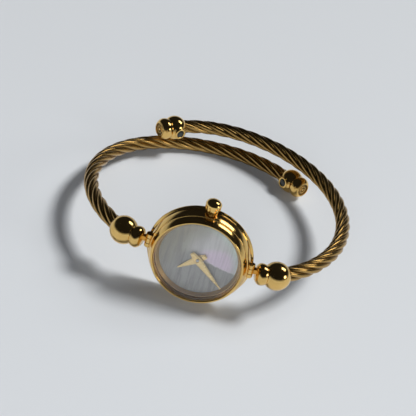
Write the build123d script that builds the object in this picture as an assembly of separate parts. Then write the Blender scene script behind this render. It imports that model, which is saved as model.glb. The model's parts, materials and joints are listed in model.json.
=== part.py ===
from build123d import *
import math
import os

os.makedirs("parts", exist_ok=True)

# A ladies' bangle watch. Lengths are in millimetres and angles in degrees.
# It is drawn in the frame of its head: +X towards 6 o'clock, +Y towards the crown at 3 o'clock,
# +Z out of the dial, with the front rim of the bezel at Z = 0. Depths are measured down from that rim.
# The last section lays the watch on a table the way it comes to rest there, on its 9 o'clock side.

# Fits
press_gap = 0.01        # radial, a piece pressed or glued into its seat
running_gap = 0.05      # radial, a pin in the hole that turns on it
wheel_gap = 0.08        # between faces that turn past each other
overrun = 1.0           # how far a cut runs out past the metal

# Case
case_diameter = 24.0    # over the lip at the back of the band
bezel_diameter = 20.8   # over the front rim
bezel_foot_diameter = 21.9
bezel_height = 1.75
band_top_diameter = 22.2
band_foot_diameter = 23.1
band_height = 2.45      # from the bezel down to the lip
lip_bevel_height = 0.2
lip_height = 0.4        # of its outer face
case_foot_diameter = 21.6
case_foot_height = 0.7  # from the lip's outer face down to the case's foot
bore_diameter = 19.0    # inside the case, for dial, holder and movement

# Crystal, dial ring and dial
crystal_diameter = 19.3
crystal_thickness = 1.1
crystal_bevel = 0.2
crystal_recess = 0.08   # of the crystal below the rim
gasket_wall = 0.2
dial_ring_opening = 17.6
dial_ring_height = 0.95
dial_thickness = 0.35
dial_hole_diameter = 1.6
dial_foot_diameter = 0.6
dial_foot_length = 0.6
dial_foot_radius = 6.2  # of the circle that carries the two feet
dial_foot_angles = (115.0, 295.0)

# Case back
back_diameter = 21.0
back_thickness = 0.55
back_chamfer = 0.25
back_plug_diameter = 17.6
back_plug_height = 0.3

# Hinges and their ball ends
hinge_reach = 11.7      # from the middle of the dial to the hinge pin
hinge_depth = 3.9
knuckle_diameter = 1.7
knuckle_width = 1.3     # of the tongue between its two ears
ear_width = 1.0
pin_diameter = 0.7
neck_height = 1.2
neck_offset = 1.112     # from the tongue's line up to the two balls' line

# Bangle, seen along the wrist
ring_radius = 30.9      # of the cable's middle line
ball_diameter = 6.5     # the large ball beside each hinge
ball_offset = 6.0235    # of that ball's middle from the hinge pin, along the dial's plane
small_ball_diameter = 5.0
ball_spacing = 3.65
ball_lean = 18.0        # of the two balls' line, down from the dial's plane
small_ball_cut = 1.15   # from the small ball's middle to its flat
cable_diameter = 3.5
cable_valley_diameter = 2.85
cable_lay_length = 23.0 # of one full turn of a strand
socket_depth = 1.2      # of the cable in each ball
end_radius = 24.5       # of the cable's last stretch, behind the wrist
end_overlap = 16.6      # from the middle of the back to the last ball
end_ball_diameter = 6.2
arm_tilt = 3.0          # of each arm out of the bangle's plane, so that they pass
end_bead_diameter = 5.5
end_bead_spacing = 3.1
end_bead_cut = 1.6
end_recess_diameter = 3.3
end_recess_depth = 0.3
collet_diameter = 2.6
collet_wall = 0.35
collet_height = 0.35    # above the ball
stone_dome = 0.25

# Crown and stem
stem_depth = 3.1
stem_diameter = 0.6
stem_start = 2.6        # from the middle of the dial to the stem's inner end
stem_grip = 1.7         # of the stem in the crown
crown_diameter = 3.6
crown_inset = 0.25      # of the crown's foot, inside the lip's edge
crown_clearance = 0.1   # at the least, between the crown's foot and the band
crown_foot_diameter = 2.4
crown_foot_height = 0.45
crown_drum_height = 1.6
crown_dome_height = 1.3
crown_flute_depth = 0.12
crown_bore_height = 1.4
crown_gasket_height = 0.4
crown_gasket_wall = 0.15
tube_diameter = 1.6
tube_wall = 0.25
tube_reach = 1.05       # of the tube into the crown
crown_pull = 0.9

# Hands
hand_thickness = 0.12
hour_hand_length = 5.0
minute_hand_length = 8.4
hand_tail = 2.4
hand_width = 1.9
hand_tail_width = 1.0
hand_spacing = 0.2
hour_hand_height = 0.3  # above the dial
hub_cap_diameter = 1.0
hour_hand_angle = 318.4 # clockwise from 12 o'clock: the hands stand at 10:37
minute_hand_angle = 220.4

# Movement: plates, power and circuit. Places are in the head's frame.
movement_length = 15.15  # from 12 to 6 o'clock
movement_width = 13.0
movement_corner = 3.0
plate_thickness = 1.04
bridge_thickness = 0.3
battery_place = (-3.75, -2.5)
battery_diameter = 5.8
battery_thickness = 1.6
battery_sink = 0.4      # of the battery into the main plate
battery_can_step = 0.25
clamp_thickness = 0.15
clamp_width = 1.4
clamp_tail = 4.3        # from the battery's middle to the board
board_edges = (-6.2, -1.9, 1.3, 4.7)
board_thickness = 0.2
chip_place = (-5.2, 3.0)
chip_size = 1.8
chip_thickness = 0.5
quartz_place = (-2.6, 3.3)
quartz_length = 2.4
quartz_width = 1.0
stator_depth = 4.38     # of the middle of the stator and coil
stator_thickness = 0.3
stator_edges = (2.1, 5.85, -4.05, 4.05)
stator_leg_edges = (4.15, 4.7)
stator_foot_width = 1.0
stator_pole_width = 0.9
core_width = 0.5
coil_diameter = 1.36
coil_flange_diameter = 1.56
coil_flange_thickness = 0.15
coil_length = 6.0
screw_diameter = 0.6
screw_head_diameter = 1.0
screw_head_height = 0.2
screw_length = 0.7
pillar_diameter = 0.95
bridge_pillars = ((0.25, 2.3), (3.45, 0.75), (0.9, -3.65))
stator_posts = ((5.0, -3.55), (5.0, 3.55))
bridge_edges = (-0.4, 4.05, -4.3, 2.85)

# Movement: wheels and setting work
wheel_thickness = 0.16
arbor_diameter = 0.36
pivot_diameter = 0.2
pivot_length = 0.2
cannon_pipe_diameter = 0.5
cannon_bore_diameter = 0.28
hour_pipe_wall = 0.15
motion_centres_length = 1.6  # between the dial's middle and the minute wheel
minute_wheel_angle = 145.0
setting_wheel_reach = 1.95              # from the minute wheel towards 3 o'clock
train_distances = (1.7, 1.45, 1.25)     # centre to third, third to intermediate, intermediate to rotor
train_angles = (-48.0, -20.0, -65.0)     # the direction of each of those steps
train_level = 0.38      # from one level of the train to the next
rotor_diameter = 1.2
rotor_height = 0.4
rotor_air_gap = 0.15
sliding_pinion_diameter = 0.84
sliding_pinion_start = 3.0
sliding_pinion_length = 1.2
lever_pivot = (1.95, 5.2)
lever_nose = (0.32, 4.75)
lever_nose_diameter = 0.2
lever_boss_diameter = 0.9
stem_groove_diameter = 0.24
stem_groove_width = 0.5

# Counts and shares
strand_count = 6
cable_steps_per_lay = 10
lobe_angle_shares = (0.0, 0.3, 0.7)     # of one strand's share of the turn
crown_flutes = 16
ball_sides = 20         # of a ball, and twice its steps from pole to pole
round_sides = 16        # of the small round pieces
pivot_sides = 6
ring_sides = 30         # of the hidden rings that lie against the case
crown_dome_steps = 4
stone_dome_steps = 3
cannon_teeth, minute_wheel_teeth, minute_pinion_teeth, hour_teeth = 8, 24, 8, 32
setting_wheel_teeth = 15
train_teeth, train_pinion_teeth = 24, 6
tooth_height_share = 0.85               # of the module, above and below the pitch circle
rounds_to_rest = 12     # for the resting pose to settle

# Depths that follow from the sizes above
crystal_foot = crystal_recess + crystal_thickness
dial_ring_top = crystal_foot + press_gap
dial_top = dial_ring_top + dial_ring_height
dial_foot = dial_top + dial_thickness
lip_top = bezel_height + band_height
lip_face_top = lip_top + lip_bevel_height
lip_face_foot = lip_face_top + lip_height
case_foot = lip_face_foot + case_foot_height
plug_top = case_foot - back_plug_height
plate_top = dial_foot + press_gap
plate_foot = plate_top + plate_thickness
hour_wheel_top = plate_top + running_gap
hour_wheel_foot = hour_wheel_top + wheel_thickness
minute_wheel_top = hour_wheel_foot + running_gap
minute_wheel_foot = minute_wheel_top + wheel_thickness
recess_foot = minute_wheel_foot + running_gap
stator_top = stator_depth - stator_thickness / 2
stator_foot = stator_depth + stator_thickness / 2
train_tops = [plate_foot + wheel_gap + train_level * level for level in range(3)]
bridge_top = train_tops[2] + wheel_thickness + wheel_gap
bridge_foot = bridge_top + bridge_thickness
battery_top = plate_foot - battery_sink
battery_foot = battery_top + battery_thickness
board_top = plate_foot + press_gap
board_foot = board_top + board_thickness
hour_hand_foot = dial_top - hour_hand_height
minute_hand_foot = hour_hand_foot - hand_thickness - hand_spacing
hub_cap_top = minute_hand_foot - 2 * hand_thickness

# Places and radii that follow from them
bezel_bore = crystal_diameter / 2 + gasket_wall
slot_width = knuckle_width + 2 * wheel_gap
slot_radius = knuckle_diameter / 2 + wheel_gap
ear_span = slot_width + 2 * ear_width
motion_module = motion_centres_length / (cannon_teeth + minute_wheel_teeth)
hour_module = motion_centres_length / (minute_pinion_teeth + hour_teeth)
hour_pipe_radius = cannon_pipe_diameter / 2 + running_gap + hour_pipe_wall
crown_bore_radius = tube_diameter / 2 + crown_gasket_wall
widest_band = max(bezel_diameter, bezel_foot_diameter, band_top_diameter, band_foot_diameter)
crown_seat = max(case_diameter / 2 - crown_inset, widest_band / 2 + crown_clearance)
ball_reach = hinge_reach + ball_offset
ball_angle = math.degrees(math.asin(ball_reach / ring_radius))     # round the bangle from its front
ball_drop = ball_offset * math.tan(math.radians(ball_lean))
ball_depth = neck_offset / math.cos(math.radians(ball_lean)) - hinge_depth - ball_drop
ring_depth = ring_radius * math.cos(math.radians(ball_angle)) - ball_depth
cable_start_angle = ball_angle + math.degrees((ball_diameter / 2 - socket_depth) / ring_radius)
end_angle = 180 + math.degrees(math.asin(end_overlap / end_radius))


def polar(distance, angle):
    """The step over a distance at an angle, in the dial's plane."""
    return Vector(distance * math.cos(math.radians(angle)), distance * math.sin(math.radians(angle)))


minute_wheel_place = polar(motion_centres_length, minute_wheel_angle)
setting_wheel_place = minute_wheel_place + Vector(0, setting_wheel_reach)
third_place = polar(train_distances[0], train_angles[0])
intermediate_place = third_place + polar(train_distances[1], train_angles[1])
rotor_place = intermediate_place + polar(train_distances[2], train_angles[2])
dial_feet = [polar(dial_foot_radius, angle) for angle in dial_foot_angles]


# Building blocks

def disc(radius, top, foot, place=(0, 0), sides=0):
    """A flat round between two depths, or a prism of that many sides with its corners on the circle."""
    outline = RegularPolygon(radius, sides) if sides else Circle(radius)
    return Pos(*tuple(place)[:2], -foot) * extrude(outline, foot - top)


def ring(outer_radius, inner_radius, top, foot, sides):
    """A flat many-sided ring whose sides stay outside the inner circle."""
    hole = disc(inner_radius / math.cos(math.pi / sides), top - overrun, foot + overrun, sides=sides)
    return disc(outer_radius, top, foot, sides=sides) - hole


def block(edges, top, foot):
    """A box between two depths, given by its edges in the order left, right, low, high."""
    left, right, low, high = edges
    return Pos((left + right) / 2, (low + high) / 2, -(top + foot) / 2) * Box(
        right - left, high - low, foot - top)


def turned(*points):
    """A piece turned about the dial's axis from its profile, as pairs of radius and depth."""
    outline = Polyline(*[(radius, -depth) for radius, depth in points], close=True)
    return revolve(Plane.XZ * make_face(outline), axis=Axis.Z)


def stem_bar(radius, start, end, sides=0):
    """A round bar along the stem's line, between two distances from the dial's middle."""
    outline = RegularPolygon(radius, sides) if sides else Circle(radius)
    return Pos(0, start, -stem_depth) * Rot(-90, 0, 0) * extrude(outline, end - start)


def wheel(teeth, pitch_radius, top, foot, place=(0, 0), turn=0.0):
    """A toothed disc with a tooth at the angle turn."""
    tooth = tooth_height_share * 2 * pitch_radius / teeth
    corners = []
    for corner in range(2 * teeth):
        radius = pitch_radius + tooth if corner % 2 == 0 else pitch_radius - tooth
        corners.append(polar(radius, turn + corner * 180 / teeth))
    outline = make_face(Polyline(*corners, close=True))
    return Pos(*tuple(place)[:2], -foot) * extrude(outline, foot - top)


def mesh_turn(direction, teeth, driver_teeth, driver_turn):
    """The turn that puts a wheel's gap where the driver's tooth points, across their line of centres."""
    past_tooth = (direction - driver_turn) * driver_teeth / teeth
    return direction + 180 + past_tooth + 180 / teeth


def skin(rings):
    """A solid whose sides are flat triangles between rings of points, with a flat cap at each end."""
    faces = [Face(Wire.make_polygon(rings[0])), Face(Wire.make_polygon(rings[-1]))]
    for low, high in zip(rings, rings[1:]):
        for near in range(len(low)):
            far = (near + 1) % len(low)
            faces.append(Face(Wire.make_polygon([low[near], low[far], high[far]])))
            faces.append(Face(Wire.make_polygon([low[near], high[far], high[near]])))
    return Solid(Shell(faces))


# Head: case, crystal and dial

def case_body():
    """The band with its bore, the two pairs of hinge ears and the hole for the crown's tube."""
    body = turned(
        (bore_diameter / 2, bezel_height), (band_top_diameter / 2, bezel_height),
        (band_foot_diameter / 2, lip_top), (case_diameter / 2, lip_face_top),
        (case_diameter / 2, lip_face_foot), (case_foot_diameter / 2, case_foot),
        (bore_diameter / 2, case_foot))
    for side in (-1, 1):
        hinge = Pos(side * hinge_reach, 0, -hinge_depth)
        body += hinge * cross_bar(knuckle_diameter / 2, ear_span, round_sides)
        body -= hinge * cross_bar(slot_radius, slot_width, round_sides)
        body -= block(
            sorted((side * hinge_reach, side * case_diameter)) + [-slot_width / 2, slot_width / 2],
            hinge_depth - slot_radius, hinge_depth + slot_radius)
        body -= hinge * cross_bar(pin_diameter / 2 + press_gap, ear_span + overrun, round_sides)
    return body - stem_bar(tube_diameter / 2 + press_gap, 0, case_diameter)


def bezel():
    """The polished ring round the crystal, with its thin front rim."""
    foot = bezel_height - press_gap
    return turned((bezel_bore, 0), (bezel_diameter / 2, 0), (bezel_foot_diameter / 2, foot),
                  (bezel_bore, foot))


def crystal():
    """The flat glass, with its bevelled edge."""
    radius = crystal_diameter / 2
    return turned((0, crystal_recess), (radius - crystal_bevel, crystal_recess),
                  (radius, crystal_recess + crystal_bevel), (radius, crystal_foot), (0, crystal_foot))


def crystal_gasket():
    """The sealing ring squeezed between the glass and the bezel."""
    return ring(bezel_bore - press_gap, crystal_diameter / 2 + press_gap,
                crystal_recess + crystal_bevel, crystal_foot, ring_sides)


def dial_ring():
    """The gold wall that slopes from the glass down to the dial."""
    outer = bore_diameter / 2 - press_gap
    foot = dial_top - press_gap
    return turned((outer, dial_ring_top), (outer, foot), (dial_ring_opening / 2, foot),
                  (outer - gasket_wall, dial_ring_top))


def dial():
    """The dial, with its hole for the hands and the two feet that pin it to the movement."""
    plate = disc(bore_diameter / 2 - press_gap, dial_top, dial_foot)
    plate -= disc(dial_hole_diameter / 2, dial_top - overrun, dial_foot + overrun, sides=round_sides)
    for foot in dial_feet:
        plate += disc(dial_foot_diameter / 2, dial_top, dial_foot + dial_foot_length, foot, round_sides)
    return plate


def case_back():
    """The back that snaps into the case, with the raised plug that locates it."""
    top = case_foot + press_gap
    foot = case_foot + back_thickness
    return turned((0, plug_top), (back_plug_diameter / 2, plug_top), (back_plug_diameter / 2, top),
                  (back_diameter / 2, top), (back_diameter / 2, foot - back_chamfer),
                  (back_diameter / 2 - back_chamfer, foot), (0, foot))


def case_back_gasket():
    """The sealing ring between the back's plug and the case."""
    return ring(bore_diameter / 2 - press_gap, back_plug_diameter / 2 + press_gap,
                plug_top, case_foot, ring_sides)


# Hands, set by their turn clockwise from 12 o'clock

def hand(length, foot, turn, hole_radius):
    """A faceted kite with its tail cut square, seen from above as one flat blade."""
    blade = Polyline((length, 0), (0, hand_width / 2), (-hand_tail, hand_tail_width / 2),
                     (-hand_tail, -hand_tail_width / 2), (0, -hand_width / 2), close=True)
    blade = extrude(make_face(blade) - RegularPolygon(hole_radius, round_sides), hand_thickness)
    return Pos(0, 0, -foot) * Rot(0, 0, 180 - turn) * blade


def hour_hand():
    """The short hand, pressed on the hour wheel's pipe."""
    return hand(hour_hand_length, hour_hand_foot, hour_hand_angle, hour_pipe_radius + press_gap)


def minute_hand():
    """The long hand, pressed on the cannon pinion, with the polished cap over its middle."""
    hole_radius = cannon_pipe_diameter / 2 + press_gap
    blade = hand(minute_hand_length, minute_hand_foot, minute_hand_angle, hole_radius)
    cap_foot = minute_hand_foot - hand_thickness
    return blade + disc(hub_cap_diameter / 2, hub_cap_top, cap_foot, sides=round_sides)


# Crown and stem. The crown is drawn standing on its foot and then laid along the stem.

def crown():
    """The fluted crown: foot, drum and domed top, bored for the tube, the gasket and the stem."""
    rings = [crown_ring(0, crown_foot_height), crown_ring(0, crown_foot_height + crown_drum_height)]
    for step in range(crown_dome_steps):
        rings.append(crown_ring((step + 1 / 2) / crown_dome_steps, crown_foot_height + crown_drum_height))
    body = skin(rings) + extrude(Circle(crown_foot_diameter / 2), crown_foot_height + press_gap)
    body -= extrude(RegularPolygon(crown_bore_radius, round_sides), crown_bore_height)
    body -= extrude(RegularPolygon(stem_diameter / 2 + press_gap, round_sides), stem_grip + press_gap)
    return Pos(0, crown_seat, -stem_depth) * Rot(-90, 0, 0) * body


def crown_ring(share, height):
    """One ring of the crown's outline: fluted on the drum, and plain at its share of the way up the dome."""
    rise = math.radians(90 * share)
    points = []
    for corner in range(2 * crown_flutes):
        flute = crown_flute_depth if corner % 2 or share else 0
        place = polar((crown_diameter / 2 - flute) * math.cos(rise), corner * 180 / crown_flutes)
        points.append(place + Vector(0, 0, height + crown_dome_height * math.sin(rise)))
    return points


def crown_gasket():
    """The ring in the crown that seals it on its tube."""
    start = crown_seat + crown_foot_height
    end = start + crown_gasket_height
    hole = (tube_diameter / 2 + press_gap) / math.cos(math.pi / round_sides)
    return stem_bar(crown_bore_radius - press_gap, start, end, round_sides) - stem_bar(
        hole, start - overrun, end + overrun, round_sides)


def crown_tube():
    """The tube pressed into the case, which the crown slides on."""
    start = bore_diameter / 2
    end = crown_seat + tube_reach
    bore = tube_diameter / 2 - tube_wall
    hole = stem_bar(bore, start - overrun, end + overrun, round_sides)
    return stem_bar(tube_diameter / 2, start, end) - hole


def setting_stem():
    """The stem, pressed into the crown, with the groove for the setting lever."""
    end = crown_seat + stem_grip
    groove_start = lever_nose[1] - stem_groove_width / 2
    groove_end = groove_start + stem_groove_width
    stem = stem_bar(stem_diameter / 2, stem_start, groove_start, round_sides)
    stem += stem_bar(stem_groove_diameter / 2, stem_start, end, pivot_sides)
    return stem + stem_bar(stem_diameter / 2, groove_end, end, round_sides)


# Arms: each hangs from its hinge by a tongue under two joined balls, runs round the wrist as a
# six-strand cable and ends in a ball, a bead and a stone. side is +1 at 6 o'clock and -1 at 12 o'clock.

def arm_point(side, angle):
    """The place on the cable's line, its direction and its outward normal, at an angle from the front."""
    radius, middle = ring_radius, -ring_depth
    if angle > 180:
        radius, middle = end_radius, end_radius - ring_radius - ring_depth
    turn = math.radians(angle)
    outward = Vector(side * math.sin(turn), 0, math.cos(turn))
    along = Vector(side * math.cos(turn), 0, -math.sin(turn))
    return Vector(0, 0, middle) + outward * radius, along, outward


def tilt(side):
    """The small turn that takes one arm past the other behind the wrist."""
    pivot = Pos(0, 0, ball_depth)
    return pivot * Rot(side * arm_tilt, 0, 0) * pivot.inverse()


def twisted_cable(side):
    """The cable, as rings of points that turn with the lay while they follow the arm's two arcs."""
    ring_arc = math.radians(180 - cable_start_angle) * ring_radius
    end_arc = math.radians(end_angle - 180) * end_radius - end_ball_diameter / 2 + socket_depth
    steps = round((ring_arc + end_arc) * cable_steps_per_lay / cable_lay_length)
    rings = []
    for step in range(steps + 1):
        length = (ring_arc + end_arc) * step / steps
        angle = cable_start_angle + math.degrees(length / ring_radius)
        if length > ring_arc:
            angle = 180 + math.degrees((length - ring_arc) / end_radius)
        point, along, outward = arm_point(side, angle)
        across = along.cross(outward)
        rings.append([point + outward * x + across * y for x, y in lobes(360 * length / cable_lay_length)])
    return tilt(side) * skin(rings)


def lobes(turn):
    """The cable's outline across, turned by an angle: a valley and two shoulders for each strand."""
    outline = []
    for strand in range(strand_count):
        for share in lobe_angle_shares:
            radius = cable_diameter / 2 if share else cable_valley_diameter / 2
            place = polar(radius, turn + (strand + share) * 360 / strand_count)
            outline.append((place.X, place.Y))
    return outline


def socket(point, along):
    """The cut that takes the cable's end: a hole from the point outwards along the cable."""
    radius = (cable_diameter / 2 + press_gap) / math.cos(math.pi / ball_sides)
    return Plane(origin=point, z_dir=along) * extrude(RegularPolygon(radius, ball_sides), ball_diameter)


def ball_arc(middle, radius, start, end):
    """A ball's profile as pairs of distance and radius, between two angles from its line, in even steps."""
    steps = math.ceil((start - end) * ball_sides / 360)
    angles = [math.radians(start + (end - start) * step / steps) for step in range(steps + 1)]
    return [(middle + radius * math.cos(angle), radius * math.sin(angle)) for angle in angles]


def faceted(origin, direction, profile, sides):
    """A solid turned about a line in flat facets, from pairs of distance along it and radius."""
    line = Plane(origin=origin, z_dir=direction)
    rings = []
    for distance, radius in profile:
        corners = [polar(radius, corner * 360 / sides) for corner in range(sides)]
        rings.append([line.from_local_coords(corner + Vector(0, 0, distance)) for corner in corners])
    return skin(rings)


def joined_balls(origin, direction, diameter, small_diameter, spacing, cut):
    """A ball at the origin that runs into a smaller one along its line, which ends in a flat."""
    radius, small_radius = diameter / 2, small_diameter / 2
    waist = (spacing ** 2 + radius ** 2 - small_radius ** 2) / (2 * spacing)
    pole = 180 - 180 / ball_sides
    large = ball_arc(0, radius, pole, math.degrees(math.acos(waist / radius)))
    small = ball_arc(spacing, small_radius, math.degrees(math.acos((waist - spacing) / small_radius)),
                     math.degrees(math.acos(cut / small_radius)))
    return faceted(origin, direction, large + small[1:], ball_sides)


def cross_bar(radius, width, sides):
    """A many-sided bar lying along the hinge's axis, from the middle of its width."""
    outline = RegularPolygon(radius / math.cos(math.pi / sides), sides)
    return Rot(90, 0, 0) * extrude(outline, width / 2, both=True)


def hinge_end(side):
    """The tongue with its pin hole, and the two joined balls that the cable starts from."""
    lean = Vector(side * math.cos(math.radians(ball_lean)), 0, -math.sin(math.radians(ball_lean)))
    ball = Vector(side * ball_reach, 0, ball_depth)
    hinge = Vector(side * hinge_reach, 0, -hinge_depth)
    reach = (ball - hinge).dot(lean) - ball_spacing
    end = joined_balls(ball, -lean, ball_diameter, small_ball_diameter, ball_spacing, small_ball_cut)
    end += Pos(hinge) * cross_bar(knuckle_diameter / 2, knuckle_width, round_sides)
    end += Plane(origin=hinge + lean * (reach / 2), x_dir=lean, z_dir=(0, 1, 0)) * Box(
        reach, neck_height, knuckle_width)
    end -= Pos(hinge) * cross_bar(pin_diameter / 2 + running_gap, knuckle_width + overrun, round_sides)
    point, along, _ = arm_point(side, cable_start_angle)
    return end - tilt(side) * socket(point, along)


def collet_line(side):
    """The last ball's middle, its collet's direction, and the distance from one to the collet's rim."""
    ball, _, outward = arm_point(side, end_angle)
    return ball, -outward, math.sqrt(end_ball_diameter ** 2 - collet_diameter ** 2) / 2 + collet_height


def free_end(side):
    """The last ball with its collet, and the bead whose flat face is dished."""
    ball, inward, rim = collet_line(side)
    along = arm_point(side, end_angle)[1]
    face = ball + along * (end_bead_spacing + end_bead_cut)
    end = joined_balls(ball, along, end_ball_diameter, end_bead_diameter, end_bead_spacing, end_bead_cut)
    end -= Plane(origin=face - along * end_recess_depth, z_dir=along) * extrude(
        RegularPolygon(end_recess_diameter / 2, ball_sides), overrun)
    end += Plane(origin=ball, z_dir=inward) * extrude(RegularPolygon(collet_diameter / 2, round_sides), rim)
    end -= Plane(origin=ball + inward * (rim - 2 * collet_height), z_dir=inward) * extrude(
        RegularPolygon(collet_diameter / 2 - collet_wall, round_sides), overrun)
    socket_angle = end_angle - math.degrees((end_ball_diameter / 2 - socket_depth) / end_radius)
    point, start, _ = arm_point(side, socket_angle)
    return tilt(side) * (end - socket(point, -start))


def stone(side):
    """The round stone in the collet, flat below and domed above."""
    ball, inward, rim = collet_line(side)
    radius = collet_diameter / 2 - collet_wall - press_gap
    profile = [(rim - 2 * collet_height + press_gap, radius)]
    for step in range(stone_dome_steps):
        rise = math.radians(90 * step / stone_dome_steps)
        profile.append((rim + stone_dome * math.sin(rise), radius * math.cos(rise)))
    return tilt(side) * faceted(ball, inward, profile, round_sides)


def hinge_pin(side):
    """The pin through both ears and the tongue, flush at both ends."""
    pin = Rot(90, 0, 0) * extrude(Circle(pin_diameter / 2), ear_span / 2, both=True)
    return Pos(side * hinge_reach, 0, -hinge_depth) * pin


def arm(side):
    """One arm: its hinge end, cable and free end, each a solid of its own."""
    return Compound([hinge_end(side), twisted_cable(side), free_end(side)])


# Movement

def movement_outline(margin):
    """The plate's outline, a rectangle with its corners cut, grown by a margin."""
    outline = Rectangle(movement_length + 2 * margin, movement_width + 2 * margin)
    return chamfer(outline.vertices(), movement_corner)


def movement_holder():
    """The plastic ring that centres the movement in the case."""
    foot = plug_top - press_gap
    holder = disc(bore_diameter / 2 - press_gap, dial_foot + press_gap, foot, sides=ring_sides)
    holder -= Pos(0, 0, -case_foot) * extrude(movement_outline(press_gap), case_foot)
    notch = tube_diameter / 2
    return holder - block((-notch, notch, 0, case_diameter), dial_foot, stem_depth + notch)


def main_plate():
    """The movement's base, sunk for wheels, stem, battery and lever, with posts for bridge and stator."""
    plate = Pos(0, 0, -plate_foot) * extrude(movement_outline(0), plate_thickness)
    for place, teeth, module in ((minute_wheel_place, minute_wheel_teeth, motion_module),
                                 (setting_wheel_place, setting_wheel_teeth, motion_module),
                                 (Vector(0, 0), hour_teeth, hour_module)):
        radius = (teeth + 2) * module + wheel_gap
        plate -= disc(radius, plate_top - overrun, recess_foot, place, round_sides)
    for place in (minute_wheel_place, setting_wheel_place):
        plate -= pivot_hole(place, recess_foot - overrun, recess_foot + pivot_length)
    for place in (third_place, intermediate_place, rotor_place):
        plate -= pivot_hole(place, plate_foot - pivot_length, plate_foot + overrun)
    plate -= disc(arbor_diameter / 2 + running_gap, plate_top, plate_foot + overrun, sides=round_sides)
    plate -= disc(battery_diameter / 2 + press_gap, battery_top - press_gap, plate_foot + overrun,
                  battery_place, round_sides)
    for foot in dial_feet:
        plate -= disc(dial_foot_diameter / 2 + press_gap, plate_top - overrun,
                      dial_foot + dial_foot_length + wheel_gap, foot, round_sides)
    plate -= keyless_cuts()
    for place in bridge_pillars:
        plate += disc(pillar_diameter / 2, plate_foot - press_gap, bridge_top - press_gap, place, round_sides)
    for place in stator_posts:
        plate += disc(pillar_diameter / 2, plate_foot - press_gap, stator_top - press_gap, place, round_sides)
    for place, seat in screw_places():
        plate -= disc(screw_diameter / 2 + press_gap, plate_foot, seat, place, pivot_sides)
    return plate


def keyless_cuts():
    """What the plate gives way to round the stem: its channel, the pinion's slot and the lever's bed."""
    cuts = stem_bar(stem_diameter / 2 + wheel_gap, stem_start - wheel_gap, movement_width, round_sides)
    space = sliding_pinion_diameter / 2 + wheel_gap
    cuts += block((-space, space, sliding_pinion_start - wheel_gap,
                   sliding_pinion_start + sliding_pinion_length + wheel_gap),
                  plate_top - overrun, plate_foot + overrun)
    lever_x, lever_y = lever_pivot
    swing = lever_boss_diameter
    bed = (-wheel_gap, lever_x + swing, lever_y - swing, lever_y + swing)
    cuts += block(bed, plate_top - overrun, minute_wheel_top)
    nose_x, nose_y = lever_nose
    slot = (0, nose_x + lever_nose_diameter, nose_y - lever_nose_diameter,
            nose_y + crown_pull + lever_nose_diameter)
    cuts += block(slot, plate_top, stem_depth + lever_nose_diameter + wheel_gap)
    return cuts + pivot_hole(lever_pivot, plate_top, minute_wheel_top + pivot_length)


def pivot_hole(place, top, foot):
    """A hole for a wheel's pivot to turn in."""
    return disc(pivot_diameter / 2 + running_gap, top, foot, place, pivot_sides)


def screw_places():
    """Each screw's place, and the depth of the face that its head sits on."""
    places = [(place, bridge_foot) for place in bridge_pillars]
    return places + [(place, stator_foot) for place in stator_posts]


def train_bridge():
    """The bridge that carries the lower pivots of the wheels, screwed on its three pillars."""
    bridge = block(bridge_edges, bridge_top, bridge_foot)
    bridge = chamfer(bridge.edges().filter_by(Axis.Z), pillar_diameter / 2)
    for place in (Vector(0, 0), third_place, intermediate_place, rotor_place):
        bridge -= pivot_hole(place, bridge_top - overrun, bridge_foot + overrun)
    for place in bridge_pillars:
        bridge -= disc(screw_diameter / 2 + press_gap, bridge_top - overrun, bridge_foot + overrun, place,
                       pivot_sides)
    return bridge


def movement_screws():
    """The five small screws that hold bridge and stator."""
    screws = []
    for place, seat in screw_places():
        shank = disc(screw_diameter / 2, seat - screw_length, seat + screw_head_height, place, pivot_sides)
        head = disc(screw_head_diameter / 2, seat + press_gap, seat + screw_head_height, place, pivot_sides)
        screws.append(shank + head)
    return Compound(screws)


def battery():
    """The button cell, with its narrower lid facing the back."""
    step_depth = battery_foot - battery_can_step
    return disc(battery_diameter / 2, battery_top, step_depth, battery_place, round_sides) + disc(
        battery_diameter / 2 - battery_can_step, battery_top, battery_foot, battery_place, round_sides)


def battery_clamp():
    """The bent spring strip from the circuit board over the battery."""
    x, y = battery_place
    top = battery_foot + press_gap
    foot = top + clamp_thickness
    left, right = x - clamp_width / 2, x + clamp_width / 2
    end = y + clamp_tail
    return block((left, right, y - clamp_width, end), top, foot) + block(
        (left, right, end - clamp_thickness, end), board_foot + press_gap, foot)


def circuit_board():
    """The board under the plate."""
    return block(board_edges, board_top, board_foot)


def quartz_can():
    """The crystal's tin, lying on the board."""
    x, y = quartz_place
    top = board_foot + press_gap
    return block((x - quartz_width / 2, x + quartz_width / 2, y - quartz_length / 2, y + quartz_length / 2),
                 top, top + quartz_width)


def drive_chip():
    """The chip that counts the crystal and drives the coil."""
    x, y = chip_place
    top = board_foot + press_gap
    return block((x - chip_size / 2, x + chip_size / 2, y - chip_size / 2, y + chip_size / 2),
                 top, top + chip_thickness)


def stator():
    """The motor's iron frame: the pole piece round the rotor, two feet and the core through the coil."""
    left, right, low, high = stator_edges
    leg_left, leg_right = stator_leg_edges
    outer = block((leg_left, right, low, high), stator_top, stator_foot)
    window = (leg_right, right - core_width, low + stator_foot_width, high - stator_foot_width)
    frame = outer - block(window, stator_top - overrun, stator_foot + overrun)
    y = rotor_place.Y
    frame += block((left, leg_right, y - stator_pole_width, y + stator_pole_width), stator_top, stator_foot)
    frame -= disc(rotor_diameter / 2 + rotor_air_gap, stator_top - overrun, stator_foot + overrun,
                  rotor_place, round_sides)
    for place in stator_posts:
        frame -= disc(screw_diameter / 2 + press_gap, stator_top - overrun, stator_foot + overrun, place,
                      pivot_sides)
    return frame


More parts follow.
